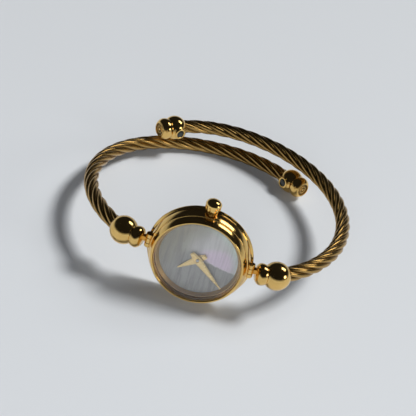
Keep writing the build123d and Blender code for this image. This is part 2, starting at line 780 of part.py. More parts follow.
def coil():
    """The winding on its bobbin, round the stator's core."""
    right = stator_edges[1]
    x = right - core_width / 2
    flange_start = coil_length / 2 - coil_flange_thickness
    lay = Pos(x, 0, -stator_depth) * Rot(90, 0, 0)
    body = lay * extrude(RegularPolygon(coil_diameter / 2, round_sides), coil_length / 2, both=True)
    for side in (-1, 1):
        body += lay * Pos(0, 0, side * (flange_start + coil_flange_thickness / 2)) * extrude(
            RegularPolygon(coil_flange_diameter / 2, round_sides), coil_flange_thickness / 2, both=True)
    core = (right - core_width - press_gap, right + press_gap, -coil_length, coil_length)
    return body - block(core, stator_top - press_gap, stator_foot + press_gap)


def arbor(place, top=plate_foot + running_gap, foot=bridge_top - running_gap):
    """A wheel's arbor between plate and bridge, with a pivot at each end."""
    pivots = disc(pivot_diameter / 2, top - pivot_length, foot + pivot_length, place, pivot_sides)
    return pivots + disc(arbor_diameter / 2, top, foot, place, pivot_sides)


def train_wheel(place, level, distance, turn):
    """One toothed wheel of the train at its level, sized for the distance to its driver's pinion."""
    radius = distance * train_teeth / (train_teeth + train_pinion_teeth)
    top = train_tops[level]
    return wheel(train_teeth, radius, top, top + wheel_thickness, place, turn)


def train_pinion(place, level, distance, turn):
    """The pinion on an arbor that drives the wheel of the next level."""
    radius = distance * train_pinion_teeth / (train_teeth + train_pinion_teeth)
    top = train_tops[level]
    return wheel(train_pinion_teeth, radius, top, top + wheel_thickness, place, turn)


def centre_wheel():
    """The wheel that turns once an hour, on the arbor that runs up through the plate and the hands."""
    body = train_wheel(Vector(0, 0), 2, train_distances[0], 0)
    body += disc(arbor_diameter / 2, minute_wheel_foot + running_gap, bridge_top - running_gap,
                 sides=pivot_sides)
    body += disc(pivot_diameter / 2, bridge_top - wheel_thickness, bridge_top - running_gap + pivot_length,
                 sides=pivot_sides)
    return body + disc(cannon_bore_diameter / 2 - press_gap, minute_hand_foot, plate_foot, sides=pivot_sides)


def third_wheel():
    """The wheel between the centre and the intermediate wheel."""
    turn = mesh_turn(train_angles[0], train_pinion_teeth, train_teeth, 0)
    body = arbor(third_place) + train_pinion(third_place, 2, train_distances[0], turn)
    return body + train_wheel(third_place, 1, train_distances[1], train_angles[1])


def intermediate_wheel():
    """The wheel that the rotor's pinion drives."""
    turn = mesh_turn(train_angles[1], train_pinion_teeth, train_teeth, train_angles[1])
    body = arbor(intermediate_place) + train_pinion(intermediate_place, 1, train_distances[1], turn)
    return body + train_wheel(intermediate_place, 0, train_distances[2], train_angles[2])


def rotor():
    """The magnet with its pinion, which steps half a turn each second."""
    turn = mesh_turn(train_angles[2], train_pinion_teeth, train_teeth, train_angles[2])
    body = arbor(rotor_place) + train_pinion(rotor_place, 0, train_distances[2], turn)
    return body + disc(rotor_diameter / 2, stator_depth - rotor_height / 2, stator_depth + rotor_height / 2,
                       rotor_place, round_sides)


def cannon_pinion():
    """The pinion and pipe that carry the minute hand."""
    pinion = wheel(cannon_teeth, cannon_teeth * motion_module, minute_wheel_top, minute_wheel_foot)
    pipe_top = minute_hand_foot - hand_thickness
    pinion += disc(cannon_pipe_diameter / 2, pipe_top, minute_wheel_foot, sides=round_sides)
    return pinion - disc(cannon_bore_diameter / 2 / math.cos(math.pi / pivot_sides), pipe_top - overrun,
                         minute_wheel_foot + overrun, sides=pivot_sides)


def minute_wheel():
    """The wheel and pinion that slow the cannon pinion down for the hour wheel."""
    wheel_turn = mesh_turn(minute_wheel_angle, minute_wheel_teeth, cannon_teeth, 0)
    body = wheel(minute_wheel_teeth, minute_wheel_teeth * motion_module, minute_wheel_top,
                 minute_wheel_foot, minute_wheel_place, wheel_turn)
    body += wheel(minute_pinion_teeth, minute_pinion_teeth * hour_module, hour_wheel_top,
                  minute_wheel_top, minute_wheel_place, minute_wheel_angle)
    return body + disc(pivot_diameter / 2, minute_wheel_top, recess_foot + pivot_length - running_gap,
                       minute_wheel_place, pivot_sides)


def hour_wheel():
    """The wheel and pipe that carry the hour hand."""
    turn = mesh_turn(minute_wheel_angle + 180, hour_teeth, minute_pinion_teeth, minute_wheel_angle)
    body = wheel(hour_teeth, hour_teeth * hour_module, hour_wheel_top, hour_wheel_foot, turn=turn)
    pipe_top = hour_hand_foot - hand_thickness
    body += disc(hour_pipe_radius, pipe_top, hour_wheel_foot, sides=round_sides)
    hole = (cannon_pipe_diameter / 2 + running_gap) / math.cos(math.pi / round_sides)
    return body - disc(hole, pipe_top - overrun, hour_wheel_foot + overrun, sides=round_sides)


def setting_wheel():
    """The wheel between the stem's sliding pinion and the minute wheel."""
    driver_turn = mesh_turn(minute_wheel_angle, minute_wheel_teeth, cannon_teeth, 0)
    turn = mesh_turn(90, setting_wheel_teeth, minute_wheel_teeth, driver_turn)
    body = wheel(setting_wheel_teeth, setting_wheel_teeth * motion_module, minute_wheel_top,
                 minute_wheel_foot, setting_wheel_place, turn)
    return body + disc(pivot_diameter / 2, minute_wheel_top, recess_foot + pivot_length - running_gap,
                       setting_wheel_place, pivot_sides)


def sliding_pinion():
    """The pinion that turns with the stem, which slides through it when the crown is pulled."""
    start, end = sliding_pinion_start, sliding_pinion_start + sliding_pinion_length
    hole = (stem_diameter / 2 + running_gap) / math.cos(math.pi / round_sides)
    return stem_bar(sliding_pinion_diameter / 2, start, end, round_sides) - stem_bar(
        hole, start - overrun, end + overrun, round_sides)


def setting_lever():
    """The lever whose nose rides in the stem's groove and clicks between the crown's two places."""
    pivot, nose = Vector(*lever_pivot), Vector(*lever_nose)
    along = (nose - pivot).normalized()
    across = Vector(-along.Y, along.X)
    wide, narrow = across * (lever_boss_diameter / 2), across * lever_nose_diameter
    blade = make_face(Polyline(pivot + wide, pivot - wide, nose - narrow, nose + narrow, close=True))
    body = Pos(0, 0, -hour_wheel_foot) * extrude(blade, wheel_thickness)
    body += disc(lever_boss_diameter / 2, hour_wheel_top, hour_wheel_foot, pivot, round_sides)
    body += disc(lever_nose_diameter, hour_wheel_top, hour_wheel_foot, nose, round_sides)
    body += disc(lever_nose_diameter / 2, hour_wheel_top, stem_depth + lever_nose_diameter, nose, pivot_sides)
    return body + disc(pivot_diameter / 2, hour_wheel_top, minute_wheel_top + pivot_length - running_gap,
                       pivot, pivot_sides)


# Resting pose: the watch lies on the lip of its case, the 12 o'clock arm's end ball and that arm's cable.

def contact_points(up):
    """The three places that touch the table when up points away from it."""
    lip_middle = Vector(0, 0, -lip_face_foot)
    radial = Vector(up.X, up.Y, 0).normalized()
    lip_point = lip_middle - radial * (case_diameter / 2)
    ball = tilt(-1) * Pos(arm_point(-1, end_angle)[0])
    ball_place = ball.position - up * (end_ball_diameter / 2)
    cable_places = [(tilt(-1) * Pos(arm_point(-1, angle)[0])).position - up * (cable_diameter / 2)
                    for angle in range(int(cable_start_angle) + 1, 180)]
    cable_place = min(cable_places, key=lambda place: place.dot(up))
    return lip_point, ball_place, cable_place


def resting_plane():
    """The table's plane in the head's frame, with its Y axis pointing from dial to back of the wrist."""
    up = Vector(0, 1, 0)
    for _ in range(rounds_to_rest):
        lip_point, ball_place, cable_place = contact_points(up)
        up = (ball_place - lip_point).cross(cable_place - lip_point).normalized()
        if up.Y < 0:
            up = -up
    back = Vector(0, 0, -1)
    back = (back - up * back.dot(up)).normalized()
    return Plane(origin=lip_point, x_dir=back.cross(up), z_dir=up)


# Nodes

def pieces():
    """Every node's name and its solid, in the head's frame."""
    nodes = {
        "case_body": case_body(), "bezel": bezel(), "crystal": crystal(), "crystal_gasket": crystal_gasket(),
        "dial_ring": dial_ring(), "dial": dial(), "case_back": case_back(),
        "case_back_gasket": case_back_gasket(), "hour_hand": hour_hand(), "minute_hand": minute_hand(),
        "crown": crown(), "crown_gasket": crown_gasket(), "crown_tube": crown_tube(),
        "setting_stem": setting_stem(), "sliding_pinion": sliding_pinion(), "setting_lever": setting_lever(),
        "setting_wheel": setting_wheel(), "minute_wheel": minute_wheel(), "hour_wheel": hour_wheel(),
        "cannon_pinion": cannon_pinion(), "centre_wheel": centre_wheel(), "third_wheel": third_wheel(),
        "intermediate_wheel": intermediate_wheel(), "rotor": rotor(), "stator": stator(), "coil": coil(),
        "movement_holder": movement_holder(), "main_plate": main_plate(), "train_bridge": train_bridge(),
        "movement_screws": movement_screws(), "battery": battery(), "battery_clamp": battery_clamp(),
        "circuit_board": circuit_board(), "quartz_can": quartz_can(), "drive_chip": drive_chip(),
    }
    for name, side in (("left", -1), ("right", 1)):
        nodes[name + "_arm"] = arm(side)
        nodes[name + "_stone"] = stone(side)
        nodes[name + "_hinge_pin"] = hinge_pin(side)
    return nodes


table = resting_plane()
placed = {name: table.location.inverse() * piece for name, piece in pieces().items()}
extent = Compound(list(placed.values())).bounding_box()
origin = Pos(-extent.center().X, -extent.center().Y, 0)
for name, piece in placed.items():
    export_step(origin * piece, "parts/" + name + ".step")
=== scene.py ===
"""The looks of a ladies' bangle watch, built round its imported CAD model.

Every piece is drawn in the head's own frame, in millimetres: X runs to 6 o'clock, Y to the crown at
3 o'clock and Z out of the dial, with the bezel's rim at Z = 0. HeadFrame places it in the world.
"""

import json
import logging
import math
from dataclasses import dataclass
from enum import Enum
from typing import Callable, Iterable, Sequence

import bmesh
import bpy
from mathutils import Matrix, Vector

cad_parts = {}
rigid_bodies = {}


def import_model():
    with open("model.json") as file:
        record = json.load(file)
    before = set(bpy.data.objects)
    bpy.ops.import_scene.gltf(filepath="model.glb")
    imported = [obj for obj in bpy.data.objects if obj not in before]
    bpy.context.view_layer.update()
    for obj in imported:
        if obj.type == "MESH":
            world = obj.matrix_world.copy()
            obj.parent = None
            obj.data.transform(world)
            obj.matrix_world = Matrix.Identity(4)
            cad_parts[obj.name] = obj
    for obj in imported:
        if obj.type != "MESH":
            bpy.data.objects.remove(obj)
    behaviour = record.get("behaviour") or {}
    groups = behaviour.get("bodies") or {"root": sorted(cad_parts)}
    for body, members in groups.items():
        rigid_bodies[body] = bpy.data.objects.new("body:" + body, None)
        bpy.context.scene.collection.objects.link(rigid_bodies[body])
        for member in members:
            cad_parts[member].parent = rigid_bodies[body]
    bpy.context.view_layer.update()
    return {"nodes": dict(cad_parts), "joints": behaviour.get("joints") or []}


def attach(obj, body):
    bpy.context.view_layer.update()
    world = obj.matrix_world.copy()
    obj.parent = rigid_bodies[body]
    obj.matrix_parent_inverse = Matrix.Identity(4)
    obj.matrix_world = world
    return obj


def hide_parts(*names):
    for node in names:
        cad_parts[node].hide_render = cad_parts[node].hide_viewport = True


log = logging.getLogger("bangle_watch")

MM = 0.001
TURN = 2 * math.pi
FIT = 0.01               # the gap between pieces that touch, in millimetres
MERGE = 0.001            # how near points of a carved mesh are made one, in millimetres
PLACE = "place"          # point attribute: a vertex's place in the head's frame, in millimetres
Y_AXIS = Vector((0, 1, 0))
Z_AXIS = Vector((0, 0, 1))
Pair = tuple[float, float]
Triple = tuple[float, float, float]
Profile = list[Pair]
Shape = bmesh.types.BMesh


class Side(Enum):
    """The two arms, by the hour that their hinge stands at."""

    TWELVE = -1
    SIX = 1

    @property
    def word(self) -> str:
        """The word that the arm's CAD nodes and bodies start with."""
        return "left" if self is Side.TWELVE else "right"


# Node trees

Operator = Callable[["Field", "Field | float"], "Field"]


def _operator(operation: str, reflected: bool = False) -> Operator:
    """Make one of Field's operators.

    Args:
        operation: The Math node's operation.
        reflected: Whether the other value comes first.

    Returns:
        The operator.
    """
    def method(self: "Field", other: "Field | float") -> "Field":
        """The Math node's result."""
        return self.math(operation, *((other, self) if reflected else (self, other)))
    return method


class Field:
    """A node's output that takes part in Python arithmetic by adding Math nodes to its tree."""

    def __init__(self, nodes: "Nodes", socket: bpy.types.NodeSocket) -> None:
        """Wrap one of a tree's output sockets."""
        self.nodes = nodes
        self.socket = socket

    __add__ = __radd__ = _operator("ADD")
    __sub__ = _operator("SUBTRACT")
    __rsub__ = _operator("SUBTRACT", reflected=True)
    __mul__ = __rmul__ = _operator("MULTIPLY")
    __truediv__ = _operator("DIVIDE")
    __pow__ = _operator("POWER")

    def math(self, operation: str, *values: "Field | float", clamp: bool = False) -> "Field":
        """One Math node over the values."""
        settings = {"operation": operation, "use_clamp": clamp}
        return self.nodes.node("ShaderNodeMath", settings, *values)

    def clamped(self) -> "Field":
        """The value kept between 0 and 1."""
        return self.math("ADD", self, 0.0, clamp=True)

    def sine(self) -> "Field":
        """The sine of the value."""
        return self.math("SINE", self)

    def step(self, low: float, high: float) -> "Field":
        """A smooth rise from 0, where the value is low, to 1, where it is high."""
        smooth = {"interpolation_type": "SMOOTHSTEP"}
        return self.nodes.node("ShaderNodeMapRange", smooth, self, low, high, 0.0, 1.0)

    def sibling(self, out: str) -> "Field":
        """Another output of the same node."""
        return Field(self.nodes, self.socket.node.outputs[out])


class Nodes:
    """A node tree that is written as Python expressions."""

    tree: bpy.types.NodeTree

    def node(self, kind: str, settings: dict | None = None, *values: object, out: int | str = 0,
             **named: object) -> Field:
        """Add a node.

        Args:
            kind: The node's type.
            settings: Its own properties, set first.
            *values: What its inputs get in order: a field to link, a plain value to set, or None.
            out: The output to return.
            **named: What its inputs get by name, with _ for a space.

        Returns:
            The chosen output as a field.
        """
        made = self.tree.nodes.new(kind)
        for key, value in (settings or {}).items():
            setattr(made, key, value)
        self.feed(made, dict(enumerate(values)))
        self.feed(made, named)
        return Field(self, made.outputs[out])

    def feed(self, node: bpy.types.Node, inputs: dict[int | str, object]) -> None:
        """Link fields to a node's inputs, and set plain values on them.

        Args:
            node: The node.
            inputs: The values by the input's number, or by its name with _ for a space.
        """
        for key, value in inputs.items():
            socket = node.inputs[key.replace("_", " ") if isinstance(key, str) else key]
            if isinstance(value, Field):
                self.tree.links.new(value.socket, socket)
            elif value is not None:
                socket.default_value = (*value, 1.0) if socket.type == "RGBA" else value


class Graph(Nodes):
    """One material's nodes, from its coordinates to its Principled shader."""

    def __init__(self, name: str) -> None:
        """Start an empty material.

        Args:
            name: The material's name.
        """
        self.material = bpy.data.materials.new(name)
        self.material.use_nodes = True
        self.tree = self.material.node_tree
        self.tree.nodes.clear()
        self.shader = self.tree.nodes.new("ShaderNodeBsdfPrincipled")
        output = self.tree.nodes.new("ShaderNodeOutputMaterial")
        self.tree.links.new(self.shader.outputs[0], output.inputs[0])

    def place(self) -> Field:
        """The place in the head's frame, in millimetres, as a vector."""
        return self.node("ShaderNodeAttribute", {"attribute_name": PLACE}, out="Vector")

    def attribute(self, name: str) -> Field:
        """A number that the mesh carries."""
        return self.node("ShaderNodeAttribute", {"attribute_name": name}, out="Fac")

    def axis(self, vector: Field, index: int) -> Field:
        """One component of a vector."""
        return self.node("ShaderNodeSeparateXYZ", None, vector, out=index)

    def noise(self, vector: Field, scale: float, detail: float = 2.0, rough: float = 0.5) -> Field:
        """Plain noise over a vector, about 0 to 1."""
        return self.node("ShaderNodeTexNoise", None, vector, Scale=scale, Detail=detail,
                         Roughness=rough)

    def stretched(self, vector: Field, scale: Triple, turn: float = 0.0) -> Field:
        """A vector turned about Z and stretched for a texture with a grain."""
        return self.node("ShaderNodeMapping", None, vector, Rotation=(0.0, 0.0, turn), Scale=scale)

    def mix(self, factor: Field | float, first: object, second: object) -> Field:
        """A colour between two colours, which are a Mix node's inputs 6 and 7."""
        return self.node("ShaderNodeMix", {"data_type": "RGBA"}, factor, *[None] * 5, first, second,
                         out=2)

    def bump(self, height: Field, strength: float, distance: float) -> Field:
        """A normal bumped by a height field; distance is in millimetres."""
        return self.node("ShaderNodeBump", None, Strength=strength, Distance=distance * MM,
                         Height=height)

    def dress(self, **sockets: object) -> bpy.types.Material:
        """Feed the shader by its sockets' names and give the finished material."""
        self.feed(self.shader, sockets)
        return self.material


class Room(Graph):
    """The world's node graph, fed like a material's."""

    def __init__(self, name: str) -> None:
        """Start a plain world and make it the scene's.

        Args:
            name: The world's name.
        """
        self.material = bpy.data.worlds.new(name)
        self.material.use_nodes = True
        self.tree = self.material.node_tree
        self.shader = self.tree.nodes["Background"]
        bpy.context.scene.world = self.material


# Finishes

@dataclass(frozen=True)
class Finish:
    """A finish: its material's name, the record's slot for it, its colour and its roughness."""

    name: str
    slot: str
    colour: Triple
    roughness: float

    def build(self) -> bpy.types.Material:
        """Make the finish's material."""
        graph = Graph(self.name)
        return graph.dress(**self.sockets(graph, graph.place()))

    def sockets(self, graph: Graph, place: Field) -> dict[str, object]:
        """What the finish feeds to the shader's sockets.

        Args:
            graph: The material's graph.
            place: The place in the head's frame.

        Returns:
            Fields and plain values by the socket's name.
        """
        raise NotImplementedError

    def rough(self, wear: Field) -> Field:
        """The finish's roughness with wear added to it."""
        return (wear + self.roughness).clamped()

    def darker(self, share: float) -> Triple:
        """The finish's colour, darkened to a share of itself."""
        return tuple(share * c for c in self.colour)


@dataclass(frozen=True)
class PolishedMetal(Finish):
    """Polished plating: a mirror with faint wear, random scratches and a soft shift of colour."""

    shade: Triple = (0.6, 0.36, 0.1)
    scratch: float = 0.05
    worn: float = 0.06
    shift: float = 0.35

    def sockets(self, graph: Graph, place: Field) -> dict[str, object]:
        """What the finish feeds to the shader's sockets.

        Args:
            graph: The material's graph.
            place: The place in the head's frame.

        Returns:
            Fields and plain values by the socket's name.
        """
        cloud = graph.noise(place, scale=0.35, detail=3.0)
        wear = graph.noise(place, scale=2.4, detail=6.0, rough=0.65).step(0.45, 0.75)
        grain = graph.stretched(place, (9.0, 0.7, 2.0), turn=0.6)
        hair = graph.noise(grain, scale=3.0, detail=4.0, rough=0.7)
        shade = cloud.step(0.35, 0.7) * self.shift
        return {"Base_Color": graph.mix(shade, self.colour, self.shade),
                "Metallic": 1.0,
                "Roughness": self.rough(wear * self.worn + hair * self.scratch),
                "Normal": graph.bump(hair, strength=0.05, distance=0.01)}


@dataclass(frozen=True)
class TwistedWire(Finish):
    """Plated wire rope: bright worn crests, painted shade in the dull brown grooves, and fine lines
    along each strand.
    """

    # groove is the colour of the painted shade deep in the grooves between the strands.
    groove: Triple = (0.07, 0.036, 0.011)
    lines_around: float = 24.0
    lines_along: float = 0.8

    def sockets(self, graph: Graph, place: Field) -> dict[str, object]:
        """What the finish feeds to the shader's sockets.

        Args:
            graph: The material's graph.
            place: The place in the head's frame.

        Returns:
            Fields and plain values by the socket's name.
        """
        crest = graph.attribute("crest")
        around = graph.attribute("around") * self.lines_around
        along = graph.attribute("along") * self.lines_along
        strand = graph.node("ShaderNodeCombineXYZ", None, around, along)
        line = graph.noise(strand, scale=1.0, detail=4.0, rough=0.6)
        cloud = graph.noise(place, scale=0.5, detail=3.0)
        # Painted shade: the colour darkens from the crest of each strand down into the grooves,
        # with a random change of tone on top.
        groove_shade_and_tone = (1.0 - crest.step(0.3, 0.95)) * 0.9 + (cloud - 0.5) * 0.3
        return {"Base_Color": graph.mix(groove_shade_and_tone.clamped(), self.colour, self.groove),
                "Metallic": 1.0,
                "Roughness": self.rough((1.0 - crest) * 0.2 + line * 0.12),
                "Normal": graph.bump(line, strength=0.25, distance=0.02)}


@dataclass(frozen=True)
class Pearl(Finish):
    """Mother of pearl: a pale field over a grey one, a lilac patch, tinted edges, growth lines."""

    shade: Triple = (0.30, 0.30, 0.29)
    lilac: Triple = (0.74, 0.59, 0.76)
    mint: Triple = (0.48, 0.64, 0.56)
    cream: Triple = (0.25, 0.235, 0.165)
    line: Triple = (0.15, 0.15, 0.145)
    patch_middle: Pair = (4.8, 0.9)
    patch_reach: Pair = (5.8, 3.2)
    growth_turn: float = 0.17

    def sockets(self, graph: Graph, place: Field) -> dict[str, object]:
        """What the finish feeds to the shader's sockets.

        Args:
            graph: The material's graph.
            place: The place in the head's frame.

        Returns:
            Fields and plain values by the socket's name.
        """
        x, y = graph.axis(place, 0), graph.axis(place, 1)
        wide = graph.stretched(place, (1.0, 0.4, 1.0))
        drift = (graph.noise(place, scale=0.28, detail=4.0, rough=0.6) - 0.5) * 3.0
        ripple = (graph.noise(wide, scale=0.9, detail=3.0) - 0.5) * 0.9

        # The pale field over the grey one, with an edge that blurs to the left.
        blur = (x * -0.3 + 0.8).clamped() * 2.2 + 0.35
        height = (y + x * 0.18 + drift * 0.3 + ripple) / blur
        field = height.step(-0.3, 1.0) * (x + drift).step(-7.0, -0.5)
        colour = graph.mix(field, self.shade, self.colour)

        # The lilac patch, the green edge and the cream edge.
        across, up = ((value - middle) / reach for value, middle, reach in
                      zip((x, y), self.patch_middle, self.patch_reach))
        patch = (across ** 2.0 + up ** 2.0 + ripple * 0.6).step(1.15, 0.1)
        edge = ((x * x + y * y) ** 0.5 + drift * 0.5).step(6.4, 9.4) * (x + y).step(5.0, 9.5)
        warm = (y * 0.75 - x + drift).step(0.5, 9.5)
        colour = graph.mix(patch * field * 0.75, colour, self.lilac)
        colour = graph.mix(edge * 0.7, colour, self.mint)
        colour = graph.mix(warm * 0.9, colour, self.cream)

        # The growth lines, fine and broad.
        fine = graph.stretched(place, (2.4, 0.16, 1.0), self.growth_turn)
        grain = graph.noise(fine, scale=1.0, detail=5.0, rough=0.65)
        broad = graph.noise(graph.stretched(place, (0.8, 0.1, 1.0), self.growth_turn), scale=1.0)
        streak = (grain * 0.6 + broad * 0.4).step(0.42, 0.62) * (1.0 - field * 0.6)
        return {"Base_Color": graph.mix(streak * 0.6, colour, self.line),
                "Roughness": self.rough(grain * 0.2),
                "Coat_Weight": 0.8,
                "Coat_Roughness": 0.06,
                "Normal": graph.bump(grain, strength=0.1, distance=0.02)}


@dataclass(frozen=True)
class Crystal(Finish):
    """Clear flat glass: it lets the dial through under a faint, slightly smeared mirror."""

    mirror: float = 0.05

    def sockets(self, graph: Graph, place: Field) -> dict[str, object]:
        """What the finish feeds to the shader's sockets."""
        smear = graph.noise(place, scale=0.5, detail=4.0)
        return {"Base_Color": self.colour, "Metallic": 1.0, "Alpha": smear * 0.02 + self.mirror,
                "Roughness": self.rough(smear * 0.04)}


@dataclass(frozen=True)
class Stone(Finish):
    """A dark cut stone with paler flashes painted in as reflections off its facets."""

    painted_flash: Triple = (0.014, 0.022, 0.015)

    def sockets(self, graph: Graph, place: Field) -> dict[str, object]:
        """What the finish feeds to the shader's sockets."""
        cloud = graph.noise(place, scale=1.6, detail=3.0)
        # Painted reflection: noise lays paler flashes over the stone's dark colour.
        return {"Base_Color": graph.mix(cloud.step(0.4, 0.7), self.colour, self.painted_flash),
                "Roughness": self.rough(cloud * 0.05), "Coat_Weight": 0.25, "Coat_Roughness": 0.02}


@dataclass(frozen=True)
class BrushedMetal(Finish):
    """Metal with a grain: round the dial's axis, or along one direction."""

    circular: bool = False

    def sockets(self, graph: Graph, place: Field) -> dict[str, object]:
        """What the finish feeds to the shader's sockets.

        Args:
            graph: The material's graph.
            place: The place in the head's frame.

        Returns:
            Fields and plain values by the socket's name.
        """
        if self.circular:
            flat = graph.stretched(place, (1.0, 1.0, 0.0))
            reach = graph.node("ShaderNodeVectorMath", {"operation": "LENGTH"}, flat, out="Value")
            grain = graph.node("ShaderNodeTexNoise", {"noise_dimensions": "1D"}, W=reach * 14.0,
                               Detail=4.0)
        else:
            brushed = graph.stretched(place, (1.0, 14.0, 3.0))
            grain = graph.noise(brushed, scale=2.0, detail=4.0, rough=0.6)
        cloud = graph.noise(place, scale=0.6, detail=3.0)
        return {"Base_Color": graph.mix(cloud * 0.3 + grain * 0.2, self.colour, self.darker(0.7)),
                "Metallic": 1.0,
                "Roughness": self.rough(grain * 0.2),
                "Normal": graph.bump(grain, strength=0.15, distance=0.02)}


@dataclass(frozen=True)
class Moulded(Finish):
    """Plastic or rubber: a fine even grain with faint blotches."""

    def sockets(self, graph: Graph, place: Field) -> dict[str, object]:
        """What the finish feeds to the shader's sockets.

        Args:
            graph: The material's graph.
            place: The place in the head's frame.

        Returns:
            Fields and plain values by the socket's name.
        """
        fine = graph.noise(place, scale=6.0, detail=4.0)
        blotch = graph.noise(place, scale=0.7)
        return {"Base_Color": graph.mix(blotch * 0.4, self.colour, self.darker(0.75)),
                "Roughness": self.rough(fine * 0.15),
                "Normal": graph.bump(fine, strength=0.2, distance=0.02)}


@dataclass(frozen=True)
class Winding(Finish):
    """Enamelled copper wire, wound in close turns along Y, with painted shade in the grooves
    between the turns.
    """

    pitch: float = 0.12

    def sockets(self, graph: Graph, place: Field) -> dict[str, object]:
        """What the finish feeds to the shader's sockets."""
        turns = (graph.axis(place, 1) * (TURN / self.pitch)).sine() * 0.5 + 0.5
        # Painted shade: the colour darkens to under half in the grooves between turns.
        return {"Base_Color": graph.mix(turns, self.darker(0.45), self.colour),
                "Metallic": 0.9,
                "Roughness": self.rough(turns * -0.1),
                "Normal": graph.bump(turns, strength=0.4, distance=0.03)}


@dataclass(frozen=True)
class Board(Finish):
    """Green lacquered board with gold tracks."""

    track: Triple = (0.75, 0.6, 0.25)

    def sockets(self, graph: Graph, place: Field) -> dict[str, object]:
        """What the finish feeds to the shader's sockets."""
        tracks = graph.node("ShaderNodeTexBrick", None, place, Scale=1.4, Mortar_Size=0.05,
                            out="Fac")
        return {"Base_Color": graph.mix(tracks, self.colour, self.track), "Metallic": tracks,
                "Roughness": self.roughness}


GOLD = PolishedMetal("polished_gold", "gold", (0.88, 0.585, 0.20), 0.09)
HAND_GOLD = PolishedMetal("hand_gold", "gold", (0.92, 0.7, 0.34), 0.2, shade=(0.8, 0.55, 0.22),
                          scratch=0.08)
SATIN_GOLD = PolishedMetal("satin_gold", "gold", (0.60, 0.38, 0.13), 0.42)
# A dark colour for the thin layer on the floors of the grooves in the beads' faces.
DARK_GROOVE_FILL = PolishedMetal("dark_groove_fill", "gold", (0.10, 0.065, 0.025), 0.4)
WIRE = TwistedWire("cable_gold", "cable_gold", (0.46, 0.285, 0.09), 0.16)
PEARL = Pearl("mother_of_pearl", "pearl", (0.57, 0.57, 0.57), 0.25)
GLASS = Crystal("crystal_glass", "crystal", (1.0, 1.0, 1.0), 0.0)
STONE = Stone("dark_stone", "stone", (0.006, 0.01, 0.008), 0.03)
BACK_STEEL = BrushedMetal("back_steel", "steel", (0.55, 0.55, 0.56), 0.25, circular=True)
STEEL = BrushedMetal("movement_steel", "steel", (0.52, 0.52, 0.54), 0.2)
NICKEL = BrushedMetal("plated_nickel", "nickel", (0.66, 0.62, 0.52), 0.22)
BRASS = BrushedMetal("wheel_brass", "wheel_brass", (0.7, 0.5, 0.2), 0.25, circular=True)
COPPER = Winding("copper_winding", "copper", (0.72, 0.32, 0.14), 0.35)
WHITE_PLASTIC = Moulded("white_plastic", "white_plastic", (0.78, 0.78, 0.75), 0.4)
BLACK_PLASTIC = Moulded("black_plastic", "black_plastic", (0.03, 0.03, 0.03), 0.4)
RUBBER = Moulded("rubber", "rubber", (0.03, 0.03, 0.03), 0.6)
BOARD = Board("circuit_board", "board", (0.03, 0.16, 0.07), 0.3)


# Placing and finishing meshes

class HeadFrame:
    """Where the watch's head lies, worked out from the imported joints."""

    def __init__(self, joints: Sequence[dict], hands_depth: float) -> None:
        """Read the head's axes from its hinges and hands.

        Args:
            joints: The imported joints.
            hands_depth: How far the hands' joint stands below the bezel's rim, in millimetres.
        """
        named = {joint["name"]: joint for joint in joints}
        left = Vector(named["left_arm_hinge"]["pos_m"])
        right = Vector(named["right_arm_hinge"]["pos_m"])
        hands = named["minute_hand_turn"]
        along = (right - left).normalized()
        out = -Vector(hands["axis"]).normalized()
        rim = Vector(hands["pos_m"]) + out * hands_depth * MM
        axes = Matrix((along, out.cross(along), out)).transposed().to_4x4()
        self.matrix = Matrix.Translation(rim) @ axes @ Matrix.Scale(MM, 4)


class Workshop:
    """Turns shapes in the head's frame into finished pieces that ride on their bodies."""

    def __init__(self, head: HeadFrame) -> None:
        """Keep where the head lies and start with no material built."""
        self.head = head
        self._materials: dict[Finish, bpy.types.Material] = {}

    def material(self, finish: Finish) -> bpy.types.Material:
        """Give the finish's material, built once.

        Args:
            finish: The finish.

        Returns:
            The material.
        """
        if finish not in self._materials:
            self._materials[finish] = finish.build()
        return self._materials[finish]

    def piece(self, name: str, shape: Shape | bpy.types.Mesh, finish: Finish, body: str,
              replaced: Iterable[str] = (), sharp: float = 35.0) -> None:
        """Place a shape that is drawn in the head's frame, and give it its finish and body.

        Args:
            name: The piece's name.
            shape: Its shape, which is used up if it is a bmesh.
            finish: Its finish.
            body: The CAD body that it rides on.
            replaced: The CAD nodes that it stands for.
            sharp: The angle between faces, in degrees, above which an edge stays sharp.
        """
        if isinstance(shape, Shape):
            bmesh.ops.remove_doubles(shape, verts=shape.verts, dist=1e-5)
            bmesh.ops.recalc_face_normals(shape, faces=shape.faces)
            shape = plain_mesh(name, shape)
        keep_places(shape, Matrix.Identity(4))
        shape.transform(self.head.matrix)
        shape.shade_smooth()
        shape.set_sharp_from_angle(angle=math.radians(sharp))
        self._dress(shape, finish)
        piece = scene_object(name, shape)
        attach(piece, body)
        if replaced:
            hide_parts(*replaced)
        log.info("%s: %d faces on %s", name, len(shape.polygons), body)

    def carry(self, node: bpy.types.Object, finish: Finish) -> None:
        """Give a CAD node that keeps its shape its finish.

        Args:
            node: The node's object.
            finish: Its finish.
        """
        keep_places(node.data, self.head.matrix.inverted())
        self._dress(node.data, finish)
        log.info("%s: carried over as %s", node.name, finish.name)

    def _dress(self, data: bpy.types.Mesh, finish: Finish) -> None:
        """Give a mesh the finish's material and no other."""
        data.materials.clear()
        data.materials.append(self.material(finish))


def keep_places(data: bpy.types.Mesh, to_head: Matrix) -> None:
    """Store each vertex's place in the head's frame as an attribute that the materials read.

    Args:
        data: The mesh.
        to_head: What takes its vertices into the head's frame.
    """
    places = data.attributes.new(PLACE, "FLOAT_VECTOR", "POINT")
    flat = [value for vertex in data.vertices for value in to_head @ vertex.co]
    places.data.foreach_set("vector", flat)


